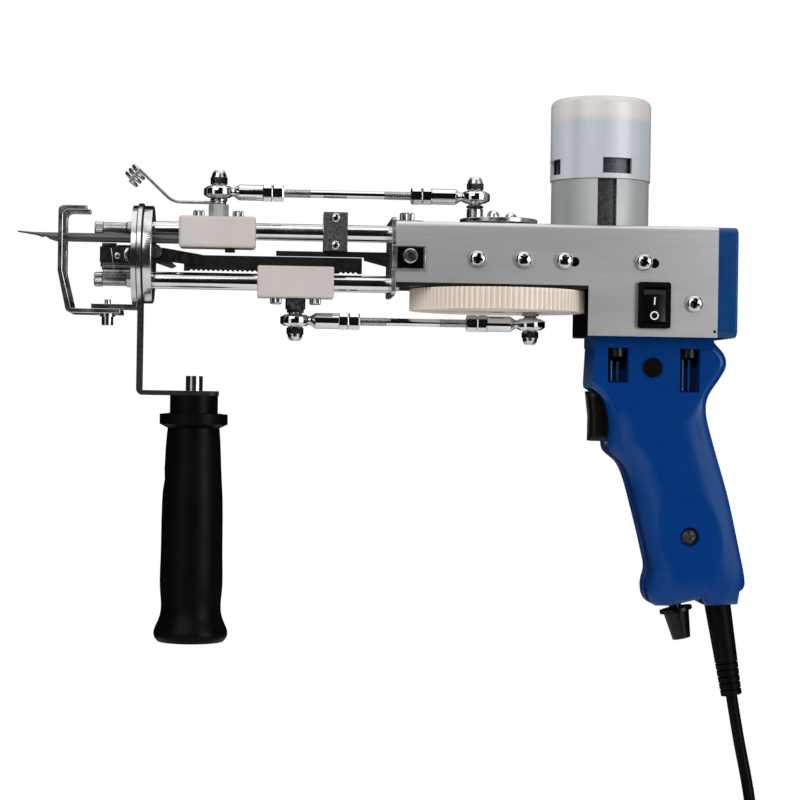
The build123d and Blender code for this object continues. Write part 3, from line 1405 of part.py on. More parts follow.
with BuildPart() as speed_knob:
    with BuildSketch(knob_plane):
        Circle(knob_disc_radius)
    extrude(amount=knob_disc_thick)
    with BuildSketch(knob_plane.offset(knob_disc_thick)):
        Circle(knob_top_radius)
    with BuildSketch(knob_plane.offset(knob_disc_thick + knob_length)):
        Circle(knob_bottom_radius)
    loft(ruled=True)
    with BuildSketch(knob_plane):
        Circle(pot_shaft_radius + fit)
    extrude(amount=pot_shaft_reach + fit, mode=Mode.SUBTRACT)
speed_knob.part.label = "speed_knob"
export_step(speed_knob.part, "parts/speed_knob.step")

# Rocker switch
bezel_face = -housing_half_width - bezel_thick
axle_y = bezel_face + rocker_axle_depth
axle_half = rocker_width / 2 + rocker_axle_reach
with BuildPart() as rocker_bezel:
    block((switch_x - bezel_width / 2, switch_x + bezel_width / 2), (bezel_face, -housing_half_width),
          (switch_z - bezel_height / 2, switch_z + bezel_height / 2))
    fillet(rocker_bezel.edges().filter_by(Axis.Y), bezel_corner)
    block((switch_x - switch_body_width / 2, switch_x + switch_body_width / 2),
          (-housing_half_width, -housing_half_width + switch_body_depth),
          (switch_z - switch_body_height / 2, switch_z + switch_body_height / 2))
    block((switch_x - rocker_width / 2 - fit, switch_x + rocker_width / 2 + fit),
          (bezel_face - overrun, bezel_face + rocker_depth + bezel_thick),
          (switch_z - rocker_height / 2 - pass_gap, switch_z + rocker_height / 2 + pass_gap),
              mode=Mode.SUBTRACT)
    rod("x", (axle_y, switch_z), rocker_axle_radius + fit, switch_x - axle_half - fit,
        switch_x + axle_half + fit,
        mode=Mode.SUBTRACT)
rocker_bezel.part.label = "rocker_bezel"
export_step(rocker_bezel.part, "parts/rocker_bezel.step")

with BuildPart() as rocker:
    with BuildSketch(Plane.YZ.offset(switch_x - rocker_width / 2)):
        with BuildLine():
            Polyline(
                (bezel_face - rocker_proud, switch_z + rocker_height / 2 - pass_gap),
                (bezel_face + pass_gap, switch_z),
                (bezel_face - rocker_proud / 4, switch_z - rocker_height / 2 + pass_gap),
                (bezel_face + rocker_depth - rocker_proud, switch_z - rocker_height / 4),
                (bezel_face + rocker_depth - rocker_proud, switch_z + rocker_height / 4), close=True,
            )
        make_face()
    extrude(amount=rocker_width)
    rod("x", (axle_y, switch_z), rocker_axle_radius, switch_x - axle_half, switch_x + axle_half)
rocker.part.label = "rocker"
export_step(rocker.part, "parts/rocker.step")

# Mains lead
with BuildPart() as strain_relief:
    with BuildSketch(relief_plane.offset(-overrun)):
        Circle(relief_top_radius)
    with BuildSketch(relief_plane.offset(relief_length)):
        Circle(relief_end_radius)
    loft(ruled=True)
    for number in range(relief_ribs):
        groove_at = relief_length - (number + 1) * 2 * relief_groove_width
        with BuildSketch(relief_plane.offset(groove_at)):
            Circle(relief_top_radius + overrun)
            Circle(relief_end_radius - relief_groove_depth, mode=Mode.SUBTRACT)
        extrude(amount=relief_groove_width / 2, mode=Mode.SUBTRACT)
strain_relief.part.label = "strain_relief"
export_step(strain_relief.part, "parts/strain_relief.step")


def tube_length(wire, radius, solid):
    """The tube's centre line in millimetres, with its volume over section times length."""
    return round(wire.length, 1), round(solid.volume / (math.pi * radius ** 2 * wire.length), 4)


# The free stretch of the lead, from the strain relief to the coil
cord_exit = relief_origin + relief_way * relief_length
route = [cord_exit] + [Vector(*point) for point in cord_points]
runs = [route[number + 1] - route[number] for number in range(len(route) - 1)]
bend_radii = []
for number in range(len(runs) - 1):
    turn = math.radians(runs[number].get_angle(runs[number + 1]))
    shorter = min(runs[number].length, runs[number + 1].length)
    bend_radii.append(run_share * shorter / math.tan(turn / 2))
print("cord bend radii", [round(radius, 1) for radius in bend_radii], "runs", [round(run.length,
      1) for run in runs])
with BuildPart() as cord:
    with BuildLine() as cord_line:
        FilletPolyline(*route, radius=bend_radii)
    with BuildSketch(Plane(cord_exit, z_dir=runs[0].normalized())):
        Circle(cord_radius)
    sweep(path=cord_line.wire())
print("cord length and volume share", tube_length(cord_line.wire(), cord_radius, cord.part))
cord.part.label = "cord"
export_step(cord.part, "parts/cord.step")

# The put-away coil: layers that spiral in and out again, on biarcs of about a quarter turn
coil_growth = coil_pitch * coil_turns_per_layer
coil_outer = coil_mean_radius + coil_growth / 2
coil_inner = coil_mean_radius - coil_growth / 2
coil_start = route[-1]
coil_centre = coil_start + Vector(-coil_outer, 0, -2 * cord_radius)
layer_turns = coil_turns_per_layer + coil_climb_turns


def coil_point(turns):
    """A point of the coil's centre line, after so many turns from its start."""
    layer = min(int(turns / layer_turns + 1e-9), coil_layers - 1)
    part_turns = turns - layer * layer_turns
    share = min(part_turns / coil_turns_per_layer, 1)
    climb = max(part_turns - coil_turns_per_layer, 0) / coil_climb_turns
    radius = coil_outer - coil_growth * share if layer % 2 == 0 else coil_inner + coil_growth * share
    angle = -2 * math.pi * turns
    return coil_centre + Vector(
        radius * math.cos(angle), coil_layer_pitch * (layer + climb), radius * math.sin(angle))


coil_turns = []
for layer in range(coil_layers):
    start_turn = layer * layer_turns
    coil_turns += [start_turn + coil_turns_per_layer * step / coil_steps_per_layer
                   for step in range(coil_steps_per_layer)]
    if layer < coil_layers - 1:
        coil_turns += [start_turn + coil_turns_per_layer + coil_climb_turns * step / coil_climb_steps
                       for step in range(coil_climb_steps)]
coil_turns.append((coil_layers - 1) * layer_turns + coil_turns_per_layer)
turn_step = 0.01
coil_marks = [coil_point(turns) for turns in coil_turns]
coil_ways = [(coil_point(turns + turn_step) - coil_point(turns - turn_step)).normalized()
             for turns in coil_turns[1:-1]]
down = Vector(0, 0, -1)
coil_ways = [down] + coil_ways + [down]
coil_end = coil_marks[-1] + down * plug_tail
coil_edges = [Edge.make_line(coil_start, coil_marks[0])] + arcs_through(coil_marks, coil_ways)
coil_edges.append(Edge.make_line(coil_marks[-1], coil_end))
with BuildPart() as cord_coil:
    with BuildLine() as coil_line:
        for edge in coil_edges:
            add(edge)
    with BuildSketch(Plane(coil_start, z_dir=down)):
        Circle(cord_radius)
    sweep(path=coil_line.wire())
print("coil length and volume share", tube_length(coil_line.wire(), cord_radius, cord_coil.part))
samples, walked = [], 0.0
for edge in coil_edges:
    for step in range(6):
        samples.append((walked + edge.length * step / 6, edge.position_at(step / 6)))
    walked += edge.length
apart = [
    (first - second).length for number, (at, first) in enumerate(samples)
    for other, second in samples[number:] if other - at > 4 * coil_mean_radius
]
print("coil least gap to itself", round(min(apart) - 2 * cord_radius, 2))
cord_coil.part.label = "cord_coil"
export_step(cord_coil.part, "parts/cord_coil.step")

with BuildPart() as cord_tie:
    hold = cord_radius + pass_gap
    layers_far = coil_start.Y + coil_layer_pitch * (coil_layers - 1)
    low, high = coil_centre.Z + coil_inner - hold, coil_centre.Z + coil_outer + hold
    tie_x = (coil_centre.X - tie_width / 2, coil_centre.X + tie_width / 2)
    block(tie_x, (coil_start.Y - hold - tie_wall, layers_far + hold + tie_wall), (low - tie_wall,
          high + tie_wall))
    fillet(cord_tie.edges().filter_by(Axis.X), cord_radius)
    block((tie_x[0] - overrun, tie_x[1] + overrun), (coil_start.Y - hold, layers_far + hold), (low, high),
          mode=Mode.SUBTRACT)
cord_tie.part.label = "cord_tie"
export_step(cord_tie.part, "parts/cord_tie.step")

# Flat two-pin plug
plug_x, plug_y = coil_end.X, coil_end.Y
body_top = coil_end.Z - plug_neck_length
body_low = body_top - plug_length
with BuildPart() as cord_plug:
    block((plug_x - plug_half_thick, plug_x + plug_half_thick), (plug_y - plug_half_width,
          plug_y + plug_half_width),
          (body_low, body_top))
    fillet(cord_plug.edges().filter_by(Axis.Z), plug_half_thick * plug_round_share)
    fillet(cord_plug.edges().group_by(Axis.Z)[-1], cord_radius)
    taper("z", (plug_x, plug_y), cord_radius + tie_wall, plug_neck_radius, coil_end.Z, body_top)
    for side in (-1, 1):
        pin_y = plug_y + side * plug_pin_spread / 2
        rod("z", (plug_x, pin_y), plug_pin_radius, body_low - plug_pin_length, body_low)
cord_plug.part.label = "cord_plug"
export_step(cord_plug.part, "parts/cord_plug.step")
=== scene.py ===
"""Finishes, fine pieces, camera and studio for a handheld tufting machine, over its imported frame.
Metres, +X to the rear, +Y away from the side with the rocker switch, +Z up."""

import json
import math

import bmesh
import bpy
from mathutils import Matrix, Vector


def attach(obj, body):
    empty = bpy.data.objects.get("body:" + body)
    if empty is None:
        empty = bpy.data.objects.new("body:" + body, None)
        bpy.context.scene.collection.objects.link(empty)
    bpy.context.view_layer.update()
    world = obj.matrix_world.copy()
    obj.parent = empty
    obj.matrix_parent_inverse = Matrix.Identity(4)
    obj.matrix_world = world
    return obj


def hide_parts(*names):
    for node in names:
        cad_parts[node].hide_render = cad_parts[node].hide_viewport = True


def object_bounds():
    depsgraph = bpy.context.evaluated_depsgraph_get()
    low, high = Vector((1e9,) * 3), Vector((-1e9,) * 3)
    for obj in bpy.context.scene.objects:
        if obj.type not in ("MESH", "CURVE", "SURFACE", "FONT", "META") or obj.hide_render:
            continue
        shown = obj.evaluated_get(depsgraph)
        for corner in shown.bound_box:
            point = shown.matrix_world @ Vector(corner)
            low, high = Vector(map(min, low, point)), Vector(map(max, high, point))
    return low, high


MM = 0.001

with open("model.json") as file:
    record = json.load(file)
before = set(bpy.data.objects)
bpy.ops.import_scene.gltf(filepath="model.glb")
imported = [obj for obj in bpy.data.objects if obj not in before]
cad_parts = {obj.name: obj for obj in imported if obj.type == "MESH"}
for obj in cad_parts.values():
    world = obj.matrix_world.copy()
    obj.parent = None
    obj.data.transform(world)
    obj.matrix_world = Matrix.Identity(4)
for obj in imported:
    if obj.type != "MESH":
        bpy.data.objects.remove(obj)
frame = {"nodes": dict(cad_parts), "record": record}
nodes = frame["nodes"]
frame_low, frame_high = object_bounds()


# Finishes

def new_finish(name, colour, metallic=0.0, roughness=0.5):
    """An empty finish: its tree, its shader and the place that its patterns read."""
    material = bpy.data.materials.new(name)
    material.use_nodes = True
    tree = material.node_tree
    shader = tree.nodes["Principled BSDF"]
    shader.inputs["Base Color"].default_value = (*colour, 1)
    shader.inputs["Metallic"].default_value = metallic
    shader.inputs["Roughness"].default_value = roughness
    place = tree.nodes.new("ShaderNodeTexCoord").outputs["Object"]
    return material, tree, shader, place


def grain(tree, place, per_metre, detail=3.0, roughness=0.5):
    """Noise with so many features a metre along each axis."""
    mapping = tree.nodes.new("ShaderNodeMapping")
    mapping.inputs["Scale"].default_value = per_metre if isinstance(per_metre, tuple) else (per_metre,) * 3
    noise = tree.nodes.new("ShaderNodeTexNoise")
    noise.inputs["Scale"].default_value = 1.0
    noise.inputs["Detail"].default_value = detail
    noise.inputs["Roughness"].default_value = roughness
    tree.links.new(place, mapping.inputs["Vector"])
    tree.links.new(mapping.outputs["Vector"], noise.inputs["Vector"])
    return noise.outputs["Fac"]


def colour_between(tree, pattern, dark, light, low, high):
    """A colour between dark and light, by a pattern."""
    ramp = tree.nodes.new("ShaderNodeValToRGB")
    for element, position, colour in zip(ramp.color_ramp.elements, (low, high), (dark, light)):
        element.position = position
        element.color = (*colour, 1)
    tree.links.new(pattern, ramp.inputs["Fac"])
    return ramp.outputs["Color"]


def tint(tree, shader, pattern, dark, light, low=0.3, high=0.7):
    """Colours a surface between dark and light, by a pattern."""
    tree.links.new(colour_between(tree, pattern, dark, light, low, high), shader.inputs["Base Color"])


def sheen_spread(tree, shader, pattern, low, high):
    """Roughness between low and high, by a pattern."""
    spread = tree.nodes.new("ShaderNodeMapRange")
    spread.inputs["From Min"].default_value = 0.3
    spread.inputs["From Max"].default_value = 0.7
    spread.inputs["To Min"].default_value = low
    spread.inputs["To Max"].default_value = high
    tree.links.new(pattern, spread.inputs["Value"])
    tree.links.new(spread.outputs["Result"], shader.inputs["Roughness"])


def relief(tree, shader, pattern, depth, strength):
    """A raised pattern of so many metres on a surface. Its node comes back."""
    bump = tree.nodes.new("ShaderNodeBump")
    bump.inputs["Strength"].default_value = strength
    bump.inputs["Distance"].default_value = depth
    tree.links.new(pattern, bump.inputs["Height"])
    tree.links.new(bump.outputs["Normal"], shader.inputs["Normal"])
    return bump


def rounded_look(tree, place, bump, reach, crisp=None):
    """Edges that look rounded for so far in. Crisp is the height above which they don't, and the middle and
    radius of a hole along Y round which they don't."""
    soft = tree.nodes.new("ShaderNodeBevel")
    soft.samples = 8
    soft.inputs["Radius"].default_value = reach
    tree.links.new(soft.outputs["Normal"], bump.inputs["Normal"])
    if not crisp:
        return
    top, hole, hole_radius = crisp
    split = tree.nodes.new("ShaderNodeSeparateXYZ")
    from_top = tree.nodes.new("ShaderNodeMath")
    from_top.operation = "SUBTRACT"
    from_top.inputs[0].default_value = top
    flat = tree.nodes.new("ShaderNodeMapping")
    flat.inputs["Scale"].default_value = (1, 0, 1)
    from_middle = tree.nodes.new("ShaderNodeVectorMath")
    from_middle.operation = "DISTANCE"
    from_middle.inputs[1].default_value = hole
    from_hole = tree.nodes.new("ShaderNodeMath")
    from_hole.operation = "SUBTRACT"
    from_hole.inputs[1].default_value = hole_radius
    nearer = tree.nodes.new("ShaderNodeMath")
    nearer.operation = "MINIMUM"
    limit = tree.nodes.new("ShaderNodeClamp")
    limit.inputs["Max"].default_value = reach
    for source, target in (
            (place, split.inputs["Vector"]), (split.outputs["Z"], from_top.inputs[1]),
            (place, flat.inputs["Vector"]), (flat.outputs["Vector"], from_middle.inputs[0]),
            (from_middle.outputs["Value"], from_hole.inputs[0]), (from_hole.outputs[0], nearer.inputs[0]),
            (from_top.outputs[0], nearer.inputs[1]), (nearer.outputs[0], limit.inputs["Value"]),
            (limit.outputs["Result"], soft.inputs["Radius"])):
        tree.links.new(source, target)


def metal(name, dark, light, low, high, smudge=45.0, fine=1500.0, depth=0.02 * MM, metallic=1.0):
    """A metal with soft smudges in its shine and a fine grain."""
    material, tree, shader, place = new_finish(name, light, metallic=metallic)
    smudges = grain(tree, place, smudge, detail=4.0)
    tint(tree, shader, smudges, dark, light)
    sheen_spread(tree, shader, smudges, low, high)
    relief(tree, shader, grain(tree, place, fine, detail=2.0), depth, 0.35)
    return material


def moulded(name, dark, light, low, high, fine=900.0, depth=0.03 * MM, specular=0.5, blotch=60.0,
            rounding=None):
    """A moulded plastic, paint or rubber with a fine grain, slightly uneven in colour. Rounding is what
    rounded_look asks for."""
    material, tree, shader, place = new_finish(name, light)
    shader.inputs["Specular IOR Level"].default_value = specular
    tint(tree, shader, grain(tree, place, blotch), dark, light)
    sheen_spread(tree, shader, grain(tree, place, blotch * 3), low, high)
    bump = relief(tree, shader, grain(tree, place, fine, detail=2.0), depth, 0.5)
    if rounding:
        rounded_look(tree, place, bump, *rounding)
    return material


def brushed(name, dark, light, low, high, along=40.0, across=1700.0, depth=0.006 * MM):
    """A metal brushed along X: fine even strokes and slow changes of shine."""
    material, tree, shader, place = new_finish(name, light, metallic=1.0)
    strokes = grain(tree, place, (along, across, across), detail=5.0, roughness=0.7)
    broad = grain(tree, place, (6.0, 60.0, 60.0), detail=2.0)
    tint(tree, shader, strokes, dark, light, 0.25, 0.75)
    sheen_spread(tree, shader, broad, low, high)
    relief(tree, shader, strokes, depth, 0.5)
    return material


def banded(name, dark, light, low, high, upper=None, metallic=0.0, around=70.0, depth=0.01 * MM):
    """An upright round piece with soft bands round it. Upper is a second dark and light, used above
    TONE_LEVEL."""
    material, tree, shader, place = new_finish(name, light, metallic=metallic)
    bands = grain(tree, place, (around, around, 2.0), detail=1.5)
    colour = colour_between(tree, bands, dark, light, 0.38, 0.62)
    if upper:
        split = tree.nodes.new("ShaderNodeSeparateXYZ")
        level = tree.nodes.new("ShaderNodeMapRange")
        level.inputs["From Min"].default_value = TONE_LEVEL - TONE_BLEND
        level.inputs["From Max"].default_value = TONE_LEVEL + TONE_BLEND
        mix = tree.nodes.new("ShaderNodeMix")
        mix.data_type = "RGBA"
        tree.links.new(place, split.inputs["Vector"])
        tree.links.new(split.outputs["Z"], level.inputs["Value"])
        tree.links.new(level.outputs["Result"], mix.inputs["Factor"])
        tree.links.new(colour, mix.inputs[6])
        tree.links.new(colour_between(tree, bands, *upper, 0.38, 0.62), mix.inputs[7])
        colour = mix.outputs[2]
    tree.links.new(colour, shader.inputs["Base Color"])
    sheen_spread(tree, shader, grain(tree, place, 90.0), low, high)
    relief(tree, shader, grain(tree, place, 500.0), depth, 0.4)
    return material


# The motor cap's second pair of tones starts at this height.
TONE_LEVEL, TONE_BLEND = 170.0 * MM, 1.5 * MM
# Millimetres: how far in the grip and the trigger look rounded, the grip's crisp top and its screw's pocket.
GRIP_ROUNDING, TRIGGER_ROUNDING = 14.0, 5.0
GRIP_CRISP_TOP = 41.0
GRIP_SCREW_X, GRIP_SCREW_Z, GRIP_SCREW_POCKET = 9.3, -26.2, 5.5
BLUE_SHEEN = (0.5, 0.78, 1.0, 1.0)
FINISHES = {
    "brushed_aluminium": brushed("brushed_aluminium", (0.54, 0.54, 0.552), (0.64, 0.64, 0.652), 0.40, 0.46),
    "polished_steel": metal("polished_nickel", (0.60, 0.59, 0.59), (0.74, 0.73, 0.73), 0.07, 0.15),
    "grey_steel": metal("grained_steel", (0.10, 0.10, 0.10), (0.24, 0.235, 0.235), 0.32, 0.44, 1100.0, 1800.0,
                        0.12 * MM),
    "black_steel": moulded("black_painted_steel", (0.005, 0.0055, 0.0055), (0.012, 0.0125, 0.0125), 0.28,
                           0.40, 1400.0, 0.05 * MM, specular=0.22, blotch=400.0),
    "motor_steel": banded("satin_plated_steel", (0.35, 0.365, 0.366), (0.49, 0.475, 0.48), 0.46, 0.52,
                          metallic=0.3, around=55.0),
    "rotor_iron": metal("rotor_iron", (0.10, 0.095, 0.09), (0.2, 0.19, 0.18), 0.4, 0.55, 200.0),
    "bearing_bronze": metal("bearing_bronze", (0.38, 0.25, 0.13), (0.5, 0.34, 0.18), 0.25, 0.4, 200.0),
    "blue_cover": moulded("blue_painted_cover", (0.002, 0.033, 0.128), (0.004, 0.039, 0.142), 0.22, 0.30,
                          depth=0.01 * MM, specular=0.3),
    "blue_grip": moulded("blue_moulded_grip", (0.0002, 0.028, 0.155), (0.0005, 0.032, 0.170), 0.17, 0.23,
                         depth=0.01 * MM, specular=0.32,
                         rounding=(GRIP_ROUNDING * MM, (
                             GRIP_CRISP_TOP * MM, (GRIP_SCREW_X * MM, 0, GRIP_SCREW_Z * MM),
                             GRIP_SCREW_POCKET * MM))),
    "motor_plastic": banded("motor_cap_plastic", (0.42, 0.45, 0.49), (0.58, 0.60, 0.64), 0.24, 0.34,
                            upper=((0.57, 0.53, 0.52), (0.68, 0.65, 0.635))),
    "white_nylon": moulded("white_nylon", (0.475, 0.43, 0.41), (0.515, 0.467, 0.445), 0.42, 0.52, 500.0),
    "black_rubber": moulded("black_rubber", (0.0012, 0.0012, 0.0014), (0.0026, 0.0026, 0.003), 0.34, 0.44,
                            1200.0, 0.04 * MM, specular=0.06),
    "black_plastic": moulded("black_plastic", (0.0018, 0.0018, 0.002), (0.0036, 0.0036, 0.004), 0.20, 0.28,
                             specular=0.2),
}
for blue in ("blue_cover", "blue_grip"):
    blue_shader = FINISHES[blue].node_tree.nodes["Principled BSDF"]
    blue_shader.inputs["Specular Tint"].default_value = BLUE_SHEEN
FINE_FINISHES = {
    "needle_steel": brushed("needle_steel", (0.07, 0.073, 0.076), (0.12, 0.125, 0.13), 0.40, 0.5),
    "chrome": metal("chromed_steel", (0.64, 0.64, 0.65), (0.76, 0.76, 0.77), 0.05, 0.10, 80.0),
    "nickel": metal("nickel_plated_steel", (0.46, 0.46, 0.45), (0.66, 0.66, 0.645), 0.13, 0.24, 140.0, 1200.0,
                    0.03 * MM),
    "zinc": metal("zinc_plated_steel", (0.34, 0.35, 0.35), (0.48, 0.49, 0.49), 0.18, 0.30, 350.0),
    "bright_plate": metal("bright_plated_steel", (0.50, 0.50, 0.50), (0.64, 0.64, 0.63), 0.22, 0.34, 160.0,
                          1400.0, 0.03 * MM, metallic=0.6),
    "plate_steel": metal("wavy_plated_steel", (0.22, 0.22, 0.22), (0.66, 0.66, 0.65), 0.14, 0.28, 260.0,
                         900.0, 0.05 * MM, metallic=0.85),
    "strap_steel": moulded("strap_steel", (0.010, 0.010, 0.0102), (0.028, 0.028, 0.029), 0.32, 0.44,
                           1500.0, 0.06 * MM, specular=0.2, blotch=700.0),
    "trigger_plastic": moulded("trigger_plastic", (0.0018, 0.0018, 0.002), (0.0036, 0.0036, 0.004), 0.22,
                               0.30, specular=0.3, rounding=(TRIGGER_ROUNDING * MM,)),
    "can_steel": metal("dark_motor_steel", (0.028, 0.03, 0.033), (0.085, 0.09, 0.095), 0.34, 0.5, 900.0,
                       2000.0, 0.08 * MM, metallic=0.7),
    "dark_zinc": metal("dark_zinc_steel", (0.10, 0.105, 0.11), (0.24, 0.245, 0.25), 0.24, 0.4, 700.0, 2200.0,
                       0.06 * MM),
    "shaded_steel": moulded("shaded_screw_steel", (0.002, 0.002, 0.002), (0.006, 0.006, 0.006), 0.25, 0.35,
                            specular=0.25),
    "pocket_shade": moulded("pocket_shade", (0.0004, 0.009, 0.05), (0.0006, 0.012, 0.062), 0.4, 0.5,
                            specular=0.1),
    # Lighter than the grip's blue: a painted highlight on the pocket ribs, besides their own gloss.
    "rib_painted_highlight_blue": moulded("glossy_rib_blue", (0.010, 0.065, 0.26), (0.014, 0.075, 0.28), 0.10, 0.16,
                        depth=0.005 * MM, specular=0.9),
    "blade_steel": metal("bronzed_blade_steel", (0.022, 0.018, 0.016), (0.050, 0.042, 0.037), 0.3, 0.42,
                         500.0, 2500.0, 0.05 * MM),
    "gear_nylon": moulded("gear_nylon", (0.74, 0.65, 0.56), (0.82, 0.74, 0.66), 0.38, 0.5, 700.0,
                          blotch=25.0),
    "marking_white": moulded("switch_marking", (0.75, 0.75, 0.75), (0.82, 0.82, 0.82), 0.4, 0.5),
    "socket_shade": moulded("socket_shade", (0.002, 0.002, 0.002), (0.004, 0.004, 0.004), 0.6, 0.8,
                            specular=0.0),
}


# Geometry Nodes

class Recipe:
    """A Geometry Nodes tree that is put together step by step."""

    def __init__(self, name):
        self.tree = bpy.data.node_groups.new(name, "GeometryNodeTree")
        self.tree.interface.new_socket("Geometry", in_out="INPUT", socket_type="NodeSocketGeometry")
        self.tree.interface.new_socket("Geometry", in_out="OUTPUT", socket_type="NodeSocketGeometry")

    def given(self, name="Geometry", kind=None, usual=None):
        """One of the tree's inputs, made when it has a kind."""
        if kind:
            socket = self.tree.interface.new_socket(name, in_out="INPUT", socket_type="NodeSocket" + kind)
            if usual is not None:
                socket.default_value = usual
        return self.tree.nodes.new("NodeGroupInput").outputs[name]

    def step(self, kind, inputs, **settings):
        """A node with its settings, its inputs linked or set."""
        node = self.tree.nodes.new(kind)
        for key, value in settings.items():
            setattr(node, key, value)
        for key, value in inputs.items():
            if isinstance(value, bpy.types.NodeSocket):
                self.tree.links.new(value, node.inputs[key])
            else:
                node.inputs[key].default_value = value
        return node

    def sum(self, operation, *values):
        """A sum on numbers."""
        return self.step("ShaderNodeMath", dict(enumerate(values)), operation=operation).outputs["Value"]

    def end(self, geometry, finish=None):
        """Realizes the instances and, with a finish, sets it."""
        real = self.step("GeometryNodeRealizeInstances", {"Geometry": geometry}).outputs["Geometry"]
        if finish:
            dressed = self.step("GeometryNodeSetMaterial", {"Geometry": real, "Material": finish})
            real = dressed.outputs["Geometry"]
        out = self.tree.nodes.new("NodeGroupOutput")
        self.tree.links.new(real, out.inputs["Geometry"])
        return self.tree


def set_input(modifier, name, value):
    """Sets a tree's input by its name, through the socket's identifier."""
    socket = next(item for item in modifier.node_group.interface.items_tree
                  if item.name == name and item.in_out == "INPUT")
    modifier[socket.identifier] = value


def soft_shading():
    """Joins loose triangles and shades them smooth, apart from edges past an angle."""
    recipe = Recipe("soft_shading")
    limit = recipe.given("Edge Angle", "Float", math.radians(30))
    joined = recipe.step("GeometryNodeMergeByDistance", {"Geometry": recipe.given(), "Distance": 0.004 * MM})
    smooth = recipe.step("GeometryNodeSetShadeSmooth", {"Geometry": joined.outputs["Geometry"]})
    angle = recipe.step("GeometryNodeInputMeshEdgeAngle", {})
    sharp = recipe.step("FunctionNodeCompare", {"A": angle.outputs["Unsigned Angle"], "B": limit},
                        operation="GREATER_THAN")
    crease = recipe.step("GeometryNodeSetShadeSmooth", {"Geometry": smooth.outputs["Geometry"],
                         "Selection": sharp.outputs["Result"], "Shade Smooth": False}, domain="EDGE")
    out = recipe.tree.nodes.new("NodeGroupOutput")
    recipe.tree.links.new(crease.outputs["Geometry"], out.inputs["Geometry"])
    return recipe.tree


def heads_on_points():
    """Puts one head on each point, along the point's facing, each turned by its own angle."""
    recipe = Recipe("heads_on_points")
    head = recipe.given("Head", "Object")
    seed = recipe.given("Seed", "Int", 1)
    finish = recipe.given("Finish", "Material")
    facing = recipe.step("GeometryNodeInputNamedAttribute", {"Name": "facing"}, data_type="FLOAT_VECTOR")
    aligned = recipe.step("FunctionNodeAlignRotationToVector", {"Vector": facing.outputs["Attribute"]},
                          axis="Z")
    chance = recipe.step("FunctionNodeRandomValue", {2: 0.0, 3: 2 * math.pi, 8: seed}, data_type="FLOAT")
    spin = recipe.step("FunctionNodeAxisAngleToRotation", {"Axis": (0, 0, 1), "Angle": chance.outputs[1]})
    turned_head = recipe.step("FunctionNodeRotateRotation", {"Rotation": aligned.outputs["Rotation"],
                              "Rotate By": spin.outputs["Rotation"]}, rotation_space="LOCAL")
    shape = recipe.step("GeometryNodeObjectInfo", {"Object": head, "As Instance": True})
    heads = recipe.step("GeometryNodeInstanceOnPoints", {"Points": recipe.given(),
                        "Instance": shape.outputs["Geometry"], "Rotation": turned_head.outputs["Rotation"]})
    return recipe.end(heads.outputs["Instances"], finish)


def ridges_on_lines():
    """Repeats a ridge at a pitch along each line, square to it."""
    recipe = Recipe("ridges_on_lines")
    ridge = recipe.given("Ridge", "Object")
    pitch = recipe.given("Pitch", "Float", 0.7 * MM)
    finish = recipe.given("Finish", "Material")
    line = recipe.step("GeometryNodeMeshToCurve", {"Mesh": recipe.given()})
    marks = recipe.step("GeometryNodeResampleCurve", {"Curve": line.outputs["Curve"], "Length": pitch},
                        mode="LENGTH")
    way = recipe.step("GeometryNodeInputTangent", {})
    aligned = recipe.step("FunctionNodeAlignRotationToVector", {"Vector": way.outputs["Tangent"]}, axis="Z")
    shape = recipe.step("GeometryNodeObjectInfo", {"Object": ridge, "As Instance": True})
    ridges = recipe.step("GeometryNodeInstanceOnPoints", {"Points": marks.outputs["Curve"],
                         "Instance": shape.outputs["Geometry"], "Rotation": aligned.outputs["Rotation"]})
    return recipe.end(ridges.outputs["Instances"], finish)


